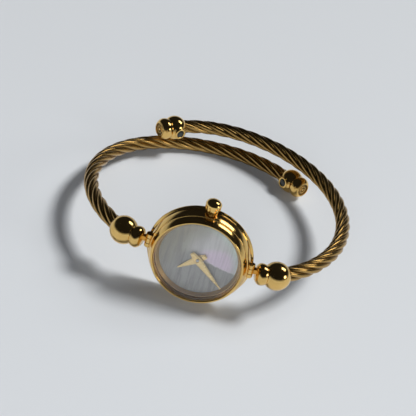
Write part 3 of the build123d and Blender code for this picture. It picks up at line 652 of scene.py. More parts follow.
def scene_object(name: str, data: bpy.types.ID) -> bpy.types.Object:
    """Link a new object that holds some data to the scene.

    Args:
        name: Its name.
        data: The mesh, curve, lamp or camera.

    Returns:
        The object.
    """
    made = bpy.data.objects.new(name, data)
    bpy.context.scene.collection.objects.link(made)
    return made


def plain_mesh(name: str, shape: Shape) -> bpy.types.Mesh:
    """Turn a bmesh, which is used up, into a plain mesh.

    Args:
        name: The mesh's name.
        shape: The bmesh.

    Returns:
        The mesh.
    """
    data = bpy.data.meshes.new(name)
    shape.to_mesh(data)
    shape.free()
    return data


def evaluated(source: bpy.types.Object) -> bpy.types.Mesh:
    """Carry out an object's modifiers; the object itself is removed.

    Args:
        source: The object.

    Returns:
        The mesh.
    """
    graph = bpy.context.evaluated_depsgraph_get()
    result = bpy.data.meshes.new_from_object(source.evaluated_get(graph))
    bpy.data.objects.remove(source)
    return result


# Shapes. A lathe's profile is a list of (distance along its line, radius).

class Cut(Enum):
    """What a boolean step does with its tool."""

    JOIN = "UNION"
    REMOVE = "DIFFERENCE"


def rod(start: float, end: float, radius: float) -> Profile:
    """The profile of a plain cylinder."""
    return [(start, 0.0), (start, radius), (end, radius), (end, 0.0)]


def strip(low: float, high: float, near: float, far: float) -> Profile:
    """A rectangular closed profile, between two first and two second coordinates."""
    return [(low, near), (high, near), (high, far), (low, far)]


def arc(middle: float, along: float, across: float, start: float, end: float,
        steps: int) -> Profile:
    """A ball's or a dome's profile round a middle on the line.

    Args:
        middle: The middle's distance.
        along: The radius along the line.
        across: The radius across it.
        start: The angle from the line where the arc starts, in degrees.
        end: The angle where it ends.
        steps: The pieces of the arc.

    Returns:
        The profile.
    """
    angles = [math.radians(start + (end - start) * step / steps) for step in range(steps + 1)]
    return [(middle + along * math.cos(angle), across * abs(math.sin(angle))) for angle in angles]


def flank(start: Pair, end: Pair, bulge: float, steps: int = 10) -> Profile:
    """A gently convex line between two points of (radius, depth).

    Args:
        start: Where it starts.
        end: Where it ends.
        bulge: How far its middle stands out.
        steps: The pieces of the line.

    Returns:
        Its points, with both ends.
    """
    points = []
    for step in range(steps + 1):
        share = step / steps
        radius, depth = (a + (b - a) * share for a, b in zip(start, end))
        points.append((radius + bulge * 4 * share * (1 - share), depth))
    return points


def soften(profile: Profile, radius: float, closed: bool = False, least: float = 25.0,
           steps: int = 4, most: float = 0.45) -> Profile:
    """Round the corners of a profile.

    Args:
        profile: Its points.
        radius: How far back from a corner the rounding starts.
        closed: Whether the last point runs on to the first.
        least: The turn, in degrees, under which a corner is left as it is.
        steps: The pieces of each rounding.
        most: The share of a line that one rounding may take.

    Returns:
        The rounded profile.
    """
    points = [Vector(point) for point in profile]
    rounded: Profile = []
    for index, corner in enumerate(points):
        back = points[index - 1] - corner
        ahead = points[(index + 1) % len(points)] - corner
        is_end = not closed and index in (0, len(points) - 1)
        if is_end or math.degrees(math.pi - back.angle(ahead)) < least:
            rounded.append(tuple(corner))
            continue
        start = back.normalized() * min(radius, most * back.length)
        end = ahead.normalized() * min(radius, most * ahead.length)
        for step in range(steps + 1):
            share = step / steps
            rounded.append(tuple(corner + start * (1 - share) ** 2 + end * share ** 2))
    return rounded


def polar(radius: float, angle: float, height: float) -> Vector:
    """The point at a radius, an angle and a height."""
    return Vector((radius * math.cos(angle), radius * math.sin(angle), height))


def lathe(profile: Profile, sides: int, line: Matrix = Matrix.Identity(4), closed: bool = False,
          swell: Callable[[float, float], float] | None = None, mesh: Shape | None = None) -> Shape:
    """Turn a profile round a line.

    Args:
        profile: Its points.
        sides: The steps round the line.
        line: Takes the Z axis to the line.
        closed: Whether the last point runs on to the first.
        swell: Gives a factor on the radius from the turn and the distance along the line.
        mesh: The mesh that gets the turned shape, or None for a new one.

    Returns:
        The mesh.
    """
    if mesh is None:
        mesh = bmesh.new()
    rings = []
    for distance, radius in profile:
        ring = []
        for step in range(sides if radius > 1e-6 else 1):
            turn = TURN * step / sides
            reach = radius * (swell(turn, distance) if swell else 1.0)
            ring.append(mesh.verts.new(line @ polar(reach, turn, distance)))
        rings.append(ring)
    pairs = list(zip(rings, rings[1:])) + ([(rings[-1], rings[0])] if closed else [])
    for low, high in pairs:
        for near in range(sides):
            far = (near + 1) % sides
            steps = (low, near), (low, far), (high, far), (high, near)
            loop = [ring[step % len(ring)] for ring, step in steps]
            mesh.faces.new(list(dict.fromkeys(loop)))
    bmesh.ops.recalc_face_normals(mesh, faces=mesh.faces)
    return mesh


def head_lathe(depths: Profile, edge: float, closed: bool = False, sides: int = 180) -> Shape:
    """A shape turned about the dial's axis.

    Args:
        depths: Its profile as pairs of radius and depth below the rim.
        edge: The rounding of its corners.
        closed: Whether the last point runs on to the first.
        sides: The steps round the axis.

    Returns:
        The mesh.
    """
    profile = [(-depth, reach) for reach, depth in depths]
    return lathe(soften(profile, edge, closed), sides, closed=closed)


def box(size: Sequence[float], line: Matrix, edge: float = 0.0) -> Shape:
    """A box round a line's origin with its edges rounded off.

    Args:
        size: Its lengths along the line's X, Y and Z.
        line: Its place.
        edge: The width of the rounding, or 0.

    Returns:
        The mesh.
    """
    mesh = bmesh.new()
    bmesh.ops.create_cube(mesh, size=1.0, matrix=Matrix.Diagonal((*size, 1.0)))
    if edge:
        bmesh.ops.bevel(mesh, geom=mesh.edges[:], offset=edge, segments=3, affect="EDGES",
                        profile=0.5)
    bmesh.ops.transform(mesh, matrix=line, verts=mesh.verts)
    return mesh


def aim(origin: Vector, direction: Vector, across: Vector = Y_AXIS) -> Matrix:
    """Build the matrix that takes the origin to a point and turns Z to a direction.

    Args:
        origin: The point.
        direction: Where Z goes.
        across: Where Y goes, as near as it can.

    Returns:
        The matrix.
    """
    forward = direction.normalized()
    side = across.cross(forward).normalized()
    turn = Matrix((side, forward.cross(side), forward)).transposed().to_4x4()
    return Matrix.Translation(origin) @ turn


def carve(base: Shape, *steps: tuple[Cut, Shape]) -> Shape:
    """Join shapes to a mesh or cut them out of it.

    Args:
        base: The mesh to start from, which is used up.
        *steps: Each step and its tool, in order.

    Returns:
        The carved mesh.
    """
    work = scene_object("carved", plain_mesh("carved", base))
    tools = []
    for cut, tool in steps:
        tools.append(scene_object("tool", plain_mesh("tool", tool)))
        step = work.modifiers.new(cut.value, "BOOLEAN")
        step.operation = cut.value
        step.solver = "EXACT"
        step.object = tools[-1]
    data = evaluated(work)
    for shape in tools:
        bpy.data.objects.remove(shape)
    result = bmesh.new()
    result.from_mesh(data)
    bpy.data.meshes.remove(data)
    bmesh.ops.remove_doubles(result, verts=result.verts, dist=MERGE)
    return result


# Geometry Nodes

class Tree(Nodes):
    """A Geometry Nodes tree with named inputs."""

    def __init__(self, name: str, inputs: dict[str, str]) -> None:
        """Start a tree.

        Args:
            name: Its name.
            inputs: Its named inputs after the geometry, each with its socket type.
        """
        self.tree = bpy.data.node_groups.new(name, "GeometryNodeTree")
        self.tree.is_modifier = True
        add = self.tree.interface.new_socket
        add("Geometry", in_out="OUTPUT", socket_type="NodeSocketGeometry")
        add("Geometry", in_out="INPUT", socket_type="NodeSocketGeometry")
        self.ids = {label: add(label, in_out="INPUT", socket_type=f"NodeSocket{kind}").identifier
                    for label, kind in inputs.items()}
        self.start = self.tree.nodes.new("NodeGroupInput")
        self.end = self.tree.nodes.new("NodeGroupOutput")

    def input(self, label: str) -> Field:
        """One of the tree's inputs."""
        return Field(self, self.start.outputs[label])

    def vector(self, operation: str, *values: Field, out: int | str = 0, **named: Field) -> Field:
        """A Vector Math node over some values."""
        settings = {"operation": operation}
        return self.node("ShaderNodeVectorMath", settings, *values, out=out, **named)

    def keep(self, geometry: Field, name: str, value: Field, kind: str = "FLOAT_VECTOR") -> Field:
        """Store a value at each point under a name."""
        return self.node("GeometryNodeStoreNamedAttribute", {"data_type": kind, "domain": "POINT"},
                         Geometry=geometry, Name=name, Value=value)

    def kept(self, name: str, kind: str = "FLOAT_VECTOR") -> Field:
        """A value stored under a name."""
        return self.node("GeometryNodeInputNamedAttribute", {"data_type": kind}, Name=name)

    def finish(self, geometry: Field) -> None:
        """End the tree in Realize Instances and Set Material."""
        real = self.node("GeometryNodeRealizeInstances", None, geometry)
        self.feed(self.end, {0: self.node("GeometryNodeSetMaterial", Geometry=real,
                                          Material=self.input("Material"))})

    def run(self, source: bpy.types.Object, values: dict[str, object]) -> bpy.types.Mesh:
        """Run the tree on an object and give the plain mesh.

        Args:
            source: The object, which is used up.
            values: The tree's inputs by name.

        Returns:
            The result.
        """
        modifier = source.modifiers.new("maker", "NODES")
        modifier.node_group = self.tree
        for label, value in values.items():
            modifier[self.ids[label]] = value
        return evaluated(source)


def rope_tree() -> Tree:
    """The tree that twists strands round a middle line, right-handed.

    Returns:
        The tree. It keeps how far out each point lies on its strand (crest), where it is round the
        strand (around) and how far it is along the rope (along), for the finish to read.
    """
    rope = Tree("twisted_strands", {
        "Strands": "Int", "Strand Radius": "Float", "Strand Offset": "Float", "Lay": "Float",
        "Step": "Float", "Sides": "Int", "Plane Normal": "Vector", "Material": "Material"})
    count, radius = rope.input("Strands"), rope.input("Strand Radius")
    normal = rope.input("Plane Normal")

    # The middle line, once for each strand.
    line = rope.node("GeometryNodeResampleCurve", {"mode": "LENGTH"}, Curve=rope.input("Geometry"),
                     Length=rope.input("Step"))
    line = rope.keep(line, "along", rope.node("GeometryNodeSplineParameter", out="Length"), "FLOAT")
    tangent = rope.node("GeometryNodeInputTangent")
    strands = rope.node("GeometryNodeDuplicateElements", {"domain": "SPLINE"}, Geometry=line,
                        Amount=count, out="Geometry")

    # Each copy moved out from the line, at an angle that turns once in a lay.
    start = strands.sibling("Duplicate Index") / count
    angle = (start + rope.kept("along", "FLOAT") / rope.input("Lay")) * TURN
    outward = rope.vector("CROSS_PRODUCT", normal, tangent)
    radial = rope.vector("ADD", rope.vector("SCALE", outward, Scale=angle.math("COSINE", angle)),
                         rope.vector("SCALE", normal, Scale=angle.sine()))
    strands = rope.keep(strands, "radial", radial)
    offset = rope.vector("SCALE", rope.kept("radial"), Scale=rope.input("Strand Offset"))
    strands = rope.node("GeometryNodeSetPosition", Geometry=strands, Offset=offset)
    strands = rope.keep(strands, "middle", rope.node("GeometryNodeInputPosition"))
    tangent = rope.node("GeometryNodeInputTangent")
    sideways = rope.vector("CROSS_PRODUCT", tangent, rope.kept("radial"))
    strands = rope.keep(strands, "sideways", sideways)

    # Their round skins, and where each point of these lies on its strand.
    section = rope.node("GeometryNodeCurvePrimitiveCircle", {"mode": "RADIUS"},
                        Resolution=rope.input("Sides"), Radius=radius)
    skin = rope.node("GeometryNodeCurveToMesh", Curve=strands, Profile_Curve=section,
                     Fill_Caps=True)
    reach = rope.vector("SUBTRACT", rope.node("GeometryNodeInputPosition"), rope.kept("middle"))
    outer = rope.vector("DOT_PRODUCT", reach, rope.kept("radial"), out="Value")
    side = rope.vector("DOT_PRODUCT", reach, rope.kept("sideways"), out="Value")
    skin = rope.keep(skin, "crest", outer / radius * 0.5 + 0.5, "FLOAT")
    skin = rope.keep(skin, "around", side.math("ARCTAN2", side, outer) / TURN, "FLOAT")
    for name in ("radial", "sideways", "middle"):
        skin = rope.node("GeometryNodeRemoveAttribute", Geometry=skin, Name=name)
    rope.finish(skin)
    return rope


# The head

@dataclass(frozen=True)
class Case:
    """The band with its hinge ears, the bezel, the glass and the back."""

    band_radius: float = 11.1
    band_foot_radius: float = 11.55
    lip_radius: float = 12.0
    foot_radius: float = 10.8
    bore_radius: float = 9.5
    band_top: float = 1.75
    lip_top: float = 4.2
    lip_faces: Pair = (4.4, 4.8)
    case_foot: float = 5.5
    band_bulge: float = 0.13
    rim_radius: float = 10.4
    bezel_foot_radius: float = 10.95
    bezel_bore: float = 9.85
    bezel_bulge: float = 0.078
    bezel_bevel: float = 0.1
    lip_turn: float = 165.0
    glass_radius: float = 9.65
    glass_bevel: float = 0.2
    glass_faces: Pair = (0.08, 1.18)
    seal_top: float = 0.9
    back_radius: float = 10.5
    back_thickness: float = 0.55
    back_bevel: float = 0.25
    plug_radius: float = 8.8
    plug_top: float = 5.2
    groove_radii: Pair = (8.1, 8.6)
    groove_bevel: float = 0.1
    groove_depth: float = 0.06
    hinge_reach: float = 11.7
    hinge_depth: float = 3.9
    ear_radius: float = 0.85
    ear_span: float = 3.46
    slot_width: float = 1.46
    slot_radius: float = 0.93
    slot_reach: float = 4.0
    pin_radius: float = 0.35
    stem_depth: float = 3.1
    tube_radius: float = 0.81
    tube_ends: Pair = (6.0, 13.0)

    def hinge(self, side: Side) -> Vector:
        """The middle of a hinge."""
        return Vector((side.value * self.hinge_reach, 0, -self.hinge_depth))

    def hinge_line(self, side: Side) -> Matrix:
        """The place of a hinge, with Z along its pin."""
        return aim(self.hinge(side), Y_AXIS, Z_AXIS)

    def stem_line(self, start: float) -> Matrix:
        """The place of the stem, with Z along it and the origin away from the dial's axis."""
        return aim(Vector((0, start, -self.stem_depth)), Y_AXIS, Z_AXIS)

    def band(self) -> Shape:
        """The band, with ears joined on, slots for the tongues and a hole for the crown's tube.

        Returns:
            The mesh.
        """
        foot = (self.band_foot_radius, self.lip_top)
        profile = [(self.bore_radius, self.band_top),
                   *flank((self.band_radius, self.band_top), foot, self.band_bulge),
                   *((self.lip_radius, depth) for depth in self.lip_faces),
                   (self.foot_radius, self.case_foot), (self.bore_radius, self.case_foot)]
        half = self.ear_span / 2
        ear = soften(rod(-half, half, self.ear_radius), radius=0.18)
        steps = [(Cut.JOIN, lathe(ear, sides=48, line=self.hinge_line(side))) for side in Side]
        half = self.slot_width / 2
        size = (self.slot_reach, self.slot_width + FIT, 2 * self.slot_radius + FIT)
        for side in Side:
            middle = self.hinge(side) + Vector((side.value * self.slot_reach / 2, 0, 0))
            slot = lathe(rod(-half, half, self.slot_radius), sides=48, line=self.hinge_line(side))
            steps += [(Cut.REMOVE, slot), (Cut.REMOVE, box(size, Matrix.Translation(middle)))]
        hole = lathe(rod(*self.tube_ends, self.tube_radius), sides=40, line=self.stem_line(0.0))
        steps.append((Cut.REMOVE, hole))
        return carve(head_lathe(profile, edge=0.1, closed=True), *steps)

    def bezel(self) -> Shape:
        """The bezel, whose front edge is a rounded lip.

        Returns:
            The mesh.
        """
        foot = self.band_top - FIT
        half = (self.rim_radius - self.bezel_bore) / 2
        turns = [math.radians(self.lip_turn * step / 12) for step in range(13)]
        lip = [(self.bezel_bore + half * (1 - math.cos(turn)), half * (1 - math.sin(turn)))
               for turn in turns]
        side = flank(lip.pop(), (self.bezel_foot_radius, foot - self.bezel_bevel), self.bezel_bulge)
        rim = [*lip, *side, (self.bezel_foot_radius - self.bezel_bevel, foot),
               (self.bezel_bore, foot)]
        return head_lathe(rim, edge=0.02, closed=True)

    def glass(self) -> Shape:
        """The glass, which is stepped to lie on the seal.

        Returns:
            The mesh.
        """
        top, foot = self.glass_faces
        edge = self.bezel_bore - FIT
        profile = [(0, top), (edge - self.glass_bevel, top), (edge, top + self.glass_bevel),
                   (edge, self.seal_top), (self.glass_radius, self.seal_top),
                   (self.glass_radius, foot), (0, foot)]
        return head_lathe(profile, edge=0.03)

    def back(self) -> Shape:
        """The back with the plug that it snaps in by, and a turned groove.

        Returns:
            The mesh.
        """
        seat, foot = self.case_foot + FIT, self.case_foot + self.back_thickness
        near, far = self.groove_radii
        profile = [(0, self.plug_top), (self.plug_radius, self.plug_top), (self.plug_radius, seat),
                   (self.back_radius, seat), (self.back_radius, foot - self.back_bevel),
                   (self.back_radius - self.back_bevel, foot), (far, foot),
                   (far - self.groove_bevel, foot - self.groove_depth),
                   (near + self.groove_bevel, foot - self.groove_depth), (near, foot), (0, foot)]
        return head_lathe(profile, edge=0.06)

    def build(self, shop: Workshop) -> None:
        """Make and dress the case's pieces.

        Args:
            shop: The workshop.
        """
        shop.piece("case_band", self.band(), GOLD, "head", ("case_body",))
        shop.piece("bezel_ring", self.bezel(), GOLD, "head", ("bezel",))
        shop.piece("watch_glass", self.glass(), GLASS, "head", ("crystal",))
        seal = strip(self.glass_radius, self.bezel_bore, self.seal_top + FIT, self.glass_faces[1])
        shop.piece("glass_seal", head_lathe(seal, edge=0.02, closed=True), SATIN_GOLD, "head",
                   ("crystal_gasket",))
        shop.piece("snap_back", self.back(), BACK_STEEL, "head", ("case_back",), sharp=50.0)
        pin = soften(rod(-self.ear_span / 2, self.ear_span / 2, self.pin_radius), radius=0.06)
        for side in Side:
            shape = lathe(pin, sides=32, line=self.hinge_line(side))
            shop.piece(f"{side.word}_pin", shape, GOLD, "head", (f"{side.word}_hinge_pin",))


@dataclass(frozen=True)
class Face:
    """The dial, the sloping ring round it and the hands."""

    dial_radius: float = 9.49
    dial_faces: Pair = (2.14, 2.49)
    hole_radius: float = 0.8
    foot_radius: float = 0.3
    foot_reach: float = 6.2
    foot_length: float = 0.6
    foot_turns: Pair = (115.0, 295.0)
    ring_top: float = 1.19
    ring_width: float = 0.2
    ring_opening: float = 8.8
    hand_thickness: float = 0.15
    hand_edge: float = 0.03
    hand_width: float = 2.0
    hand_bevel: float = 0.4
    shoulder: float = -0.1
    tip_width: float = 0.22
    tip_bevel: float = 1.6
    ridge_width: float = 0.08
    tail: float = 2.15
    tail_width: float = 1.0
    hour_length: float = 5.25
    hour_foot: float = 1.84
    hour_turn: float = 318.4
    minute_length: float = 8.75
    minute_foot: float = 1.52
    minute_turn: float = 220.4
    pin_radius: float = 0.36
    pin_top: float = 1.28
    pin_hole_radius: float = 0.52
    glass_gap: float = 1.0
    hole_floor: float = 0.05
    pin_floor: float = 0.02

    def dial(self) -> Shape:
        """The dial with its hole and its two feet.

        Returns:
            The mesh.
        """
        plate = strip(self.hole_radius, self.dial_radius, *self.dial_faces)
        mesh = head_lathe(plate, edge=0.03, closed=True)
        low = -self.dial_faces[1]
        foot = rod(low, low - self.foot_length, self.foot_radius)
        for turn in self.foot_turns:
            place = Matrix.Translation(polar(self.foot_reach, math.radians(turn), 0))
            lathe(foot, sides=24, line=place, mesh=mesh)
        return mesh

    def hand(self, length: float, foot: float, turn: float) -> Shape:
        """A kite-shaped hand with a square-cut tail, a flat top and wide bevels.

        Args:
            length: From the middle to the tip.
            foot: The depth of its lower face.
            turn: Its direction, clockwise from 12 o'clock.

        Returns:
            The mesh.
        """
        bevel = self.hand_bevel
        outline = [(length, self.tip_width / 2), (self.shoulder, self.hand_width / 2),
                   (-self.tail, self.tail_width / 2)]
        plateau = [(length - self.tip_bevel, self.ridge_width / 2),
                   (self.shoulder, self.hand_width / 2 - bevel),
                   (-self.tail + bevel * 0.6, self.tail_width / 2 - bevel)]
        direction = Matrix.Rotation(math.radians(180 - turn), 4, "Z")
        place = Matrix.Translation((0, 0, -foot)) @ direction
        mesh = bmesh.new()
        levels = []
        for half, height in ((outline, 0.0), (outline, self.hand_edge),
                             (plateau, self.hand_thickness)):
            loop = half + [(x, -y) for x, y in reversed(half)]
            levels.append([mesh.verts.new(place @ Vector((x, y, height))) for x, y in loop])
        mesh.faces.new(levels[0])
        mesh.faces.new(levels[-1])
        for lower, upper in zip(levels, levels[1:]):
            for near in range(len(lower)):
                far = (near + 1) % len(lower)
                mesh.faces.new([lower[near], lower[far], upper[far], upper[near]])
        return mesh

    def build(self, shop: Workshop) -> None:
        """Make and dress the face's pieces.

        Args:
            shop: The workshop.
        """
        foot = self.dial_faces[0] - FIT
        slope = [(self.dial_radius, self.ring_top), (self.dial_radius, foot),
                 (self.ring_opening, foot), (self.dial_radius - self.ring_width, self.ring_top)]
        shop.piece("sloping_ring", head_lathe(slope, edge=0.04, closed=True), SATIN_GOLD, "head",
                   ("dial_ring",))
        shop.piece("pearl_dial", self.dial(), PEARL, "head", ("dial",))
        hour = self.hand(self.hour_length, self.hour_foot, self.hour_turn)
        shop.piece("hour_blade", hour, HAND_GOLD, "hour_work", ("hour_hand",), sharp=12.0)
        minute = self.hand(self.minute_length, self.minute_foot, self.minute_turn)
        hole = rod(self.hole_floor - self.minute_foot, -self.glass_gap, self.pin_hole_radius)
        minute = carve(minute, (Cut.REMOVE, lathe(hole, sides=48)))
        shop.piece("minute_blade", minute, HAND_GOLD, "minute_work", ("minute_hand",), sharp=12.0)
        pin = rod(self.pin_floor - self.minute_foot, -self.pin_top, self.pin_radius)
        shop.piece("hub_pin", lathe(soften(pin, radius=0.12), sides=48), STEEL, "minute_work",
                   ("minute_hand",))


@dataclass(frozen=True)
class Crown:
    """The fluted crown, drawn standing on its foot and laid along the stem.

    flute_rise and flute_fall are the heights over which the flutes come in and run out.
    """

    case: Case
    seat: float = 11.75
    radius: float = 1.8
    foot_radius: float = 1.2
    base_radius: float = 1.42
    base_height: float = 0.15
    base_bevel: float = 0.1
    drum_height: float = 2.05
    dome_height: float = 1.3
    flutes: int = 13
    flute_depth: float = 0.14
    flute_start: float = 0.1
    flute_rise: float = 0.1
    flute_fall: float = 0.5
    flute_shape: float = 1.3
    flute_steps: int = 14
    bore_radius: float = 0.95
    bore_height: float = 1.4

    def flute(self, turn: float, distance: float) -> float:
        """The factor on the radius that cuts round-bottomed flutes into the drum.

        Args:
            turn: The angle round the crown.
            distance: The height above the foot.

        Returns:
            The factor, 1 on the ridges.
        """
        rise = (distance - self.flute_start) / self.flute_rise
        fall = (self.drum_height + self.flute_rise - distance) / self.flute_fall
        fade = min(1.0, max(0.0, rise), max(0.0, fall))
        hollow = abs(math.sin(turn * self.flutes / 2)) ** self.flute_shape
        return 1.0 - fade * hollow * self.flute_depth / self.radius

    def build(self, shop: Workshop) -> None:
        """Make and dress the crown.

        Args:
            shop: The workshop.
        """
        bevel = self.base_bevel
        profile = [(self.bore_height, 0), (self.bore_height, self.bore_radius),
                   (0, self.bore_radius), (0, self.foot_radius),
                   (self.base_height - bevel, self.base_radius - bevel)]
        for share in (step / 12 for step in range(13)):
            bulge = math.sin(math.radians(90 * share))
            profile.append((self.base_height + share * (self.drum_height - self.base_height),
                            self.base_radius + (self.radius - self.base_radius) * bulge))
        dome = arc(self.drum_height, self.dome_height, self.radius, start=90, end=0, steps=14)
        mesh = lathe(profile + dome[1:], sides=self.flutes * self.flute_steps,
                     line=self.case.stem_line(self.seat), swell=self.flute)
        shop.piece("fluted_crown", mesh, GOLD, "crown", ("crown",), sharp=40.0)


# The arms

@dataclass(frozen=True)
class Arm:
    """One arm of the bangle: its hinge end, its cable and its free end with the stone.

    ring_radii are the outer and inner radii of the raised rings in the bead's face. collet_rim
    gives the collet's rolled rim as height over its edge and radius. facets gives each ring of the
    stone's corners as height over that edge, share of the girdle's radius, their number and turn.
    """

    side: Side
    case: Case
    ring_radius: float = 30.9
    ball_z: float = -4.688
    ball_radius: float = 3.25
    ball_angle: float = 35.0
    small_radius: float = 2.5
    spacing: float = 3.65
    lean: float = 18.0
    small_cut: float = 1.15
    flat_radius: float = 1.7
    tongue_radius: float = 0.85
    tongue_width: float = 1.3
    neck_width: float = 1.24
    neck_height: float = 1.2
    hole_radius: float = 0.4
    hole_reach: float = 2.0
    socket_depth: float = 1.2
    cable_radius: float = 1.75
    strands: int = 6
    strand_radius: float = 0.62
    strand_sides: int = 14
    strand_step: float = 0.35
    lay: float = 23.0
    end_radius: float = 24.5
    end_overlap: float = 16.6
    end_ball_radius: float = 3.1
    bead_radius: float = 2.75
    bead_spacing: float = 3.1
    bead_cut: float = 1.5
    bead_bevel: float = 0.12
    face_radius: float = 1.9
    dish_radius: float = 1.6
    dish_depth: float = 0.34
    ring_height: float = 0.22
    ring_radii: tuple[Pair, ...] = ((1.0, 0.76), (0.32, 0.0))
    draft: float = 0.05
    inlay_height: float = 0.05
    collet_radius: float = 1.4
    collet_wall: float = 0.3
    collet_height: float = 0.35
    collet_rim: tuple[Pair, ...] = (
        (-0.3, 1.4), (-0.1, 1.54), (0.12, 1.49), (0.2, 1.2), (0.12, 0.98), (-0.02, 0.94),
        (-0.02, 1.1))
    facets: tuple[tuple[float, float, int, float], ...] = (
        (-0.03, 1.0, 16, 0.0), (0.12, 0.76, 8, 0.5), (0.22, 0.42, 8, 0.0))
    tilt_angle: float = 3.0

    @property
    def ring_middle(self) -> float:
        """How high the bangle's middle stands in the head's frame."""
        return self.ball_z - self.ring_radius * math.cos(math.radians(self.ball_angle))

    @property
    def end_angle(self) -> float:
        """Where round the bangle the last ball stands."""
        return 180 + math.degrees(math.asin(self.end_overlap / self.end_radius))

    @property
    def tilt(self) -> Matrix:
        """Work out the small turn that takes the arm past the other one.

        Returns:
            The turn.
        """
        pivot = Matrix.Translation((0, 0, self.ball_z))
        turn = Matrix.Rotation(math.radians(self.side.value * self.tilt_angle), 4, "X")
        return pivot @ turn @ pivot.inverted()

    def point(self, angle: float) -> tuple[Vector, Vector, Vector]:
        """A point of the cable's line.

        Args:
            angle: Its angle from the front, in degrees; past 180 the ring is the smaller one.

        Returns:
            The point, the line's direction there and its outward normal.
        """
        radius, middle = self.ring_radius, self.ring_middle
        if angle > 180:
            radius, middle = self.end_radius, middle - self.ring_radius + self.end_radius
        turn, hand = math.radians(angle), self.side.value
        outward = Vector((hand * math.sin(turn), 0, math.cos(turn)))
        along = Vector((hand * math.cos(turn), 0, -math.sin(turn)))
        return Vector((0, 0, middle)) + outward * radius, along, outward

    @staticmethod
    def joined_balls(radius: float, small: float, spacing: float, cut: float,
                     flat: float) -> Profile:
        """A ball that runs into a smaller one, which ends in a flat: a profile from pole to flat.

        Args:
            radius: The ball's radius.
            small: The smaller one's radius.
            spacing: How far apart their middles are.
            cut: How far the flat stands from the smaller one's middle.
            flat: The flat's radius.

        Returns:
            The profile.
        """
        waist = (spacing ** 2 + radius ** 2 - small ** 2) / (2 * spacing)
        stop = math.degrees(math.acos(waist / radius))
        start = math.degrees(math.acos((waist - spacing) / small))
        end = math.degrees(math.asin(flat / small))
        squashed = cut / math.cos(math.radians(end))
        return (arc(0, radius, radius, start=180, end=stop, steps=40)
                + arc(spacing, small, small, start=start, end=90, steps=14)[1:]
                + arc(spacing, squashed, small, start=90, end=end, steps=16)[1:])

    def hinge_end(self) -> Shape:
        """The tongue and the two joined balls beside the hinge.

        Returns:
            The mesh.
        """
        hand, lean = self.side.value, math.radians(self.lean)
        down = Vector((hand * math.cos(lean), 0, -math.sin(lean)))
        reach = self.ring_radius * math.sin(math.radians(self.ball_angle))
        ball = Vector((hand * reach, 0, self.ball_z))
        hinge, line = self.case.hinge(self.side), self.case.hinge_line(self.side)
        profile = self.joined_balls(self.ball_radius, self.small_radius, self.spacing,
                                    self.small_cut, self.flat_radius)
        profile.append((self.spacing + self.small_cut, 0.0))
        balls = lathe(soften(profile, radius=0.22, least=40.0), sides=96, line=aim(ball, -down))
        reach = (ball - hinge).dot(down) - self.spacing
        middle = aim(hinge + down * reach / 2, down)
        neck = box((self.neck_height, self.neck_width, reach), middle, edge=0.14)
        half = self.tongue_width / 2
        knuckle = soften(rod(-half, half, self.tongue_radius), radius=0.12)
        bore = rod(-self.hole_reach, self.hole_reach, self.hole_radius)
        hole = lathe(bore, sides=40, line=line)
        return carve(lathe(knuckle, sides=64, line=line), (Cut.JOIN, neck), (Cut.REMOVE, hole),
                     (Cut.JOIN, balls))

    def cable(self, rope: Tree, shop: Workshop) -> bpy.types.Mesh:
        """The twisted cable between the balls.

        Args:
            rope: The tree that twists the strands.
            shop: The workshop, for the finish that the tree sets.

        Returns:
            The mesh, in the head's frame.
        """
        sunk = self.ball_radius - self.socket_depth, self.end_ball_radius - self.socket_depth
        first = self.ball_angle + math.degrees(sunk[0] / self.ring_radius)
        last = self.end_angle - math.degrees(sunk[1] / self.end_radius)
        angles = [first + (180 - first) * step / 120 for step in range(121)]
        angles += [180 + (last - 180) * step / 40 for step in range(1, 41)]
        curve = bpy.data.curves.new("cable_line", "CURVE")
        curve.dimensions = "3D"
        spline = curve.splines.new("POLY")
        spline.points.add(len(angles) - 1)
        for spot, angle in zip(spline.points, angles):
            spot.co = (*(self.tilt @ self.point(angle)[0]), 1.0)
        _, along, outward = self.point(90.0)
        normal = self.tilt.to_3x3() @ along.cross(outward)
        return rope.run(scene_object("cable_line", curve), {
            "Strands": self.strands, "Strand Radius": self.strand_radius,
            "Strand Offset": self.cable_radius - self.strand_radius, "Lay": self.lay,
            "Step": self.strand_step, "Sides": self.strand_sides, "Plane Normal": tuple(normal),
            "Material": shop.material(WIRE)})

    def bead_line(self) -> tuple[Matrix, float]:
        """The last ball's middle with Z towards the bead, and the distance of the bead's face."""
        ball, along, _ = self.point(self.end_angle)
        return self.tilt @ aim(ball, along), self.bead_spacing + self.bead_cut + self.bead_bevel

    def collet_line(self) -> tuple[Matrix, float]:
        """Find where the collet stands on the last ball.

        Returns:
            The place, with the origin in the ball's middle, and the distance of the rim.
        """
        ball, _, outward = self.point(self.end_angle)
        rim = math.sqrt(self.end_ball_radius ** 2 - self.collet_radius ** 2) + self.collet_height
        return self.tilt @ aim(ball, -outward), rim

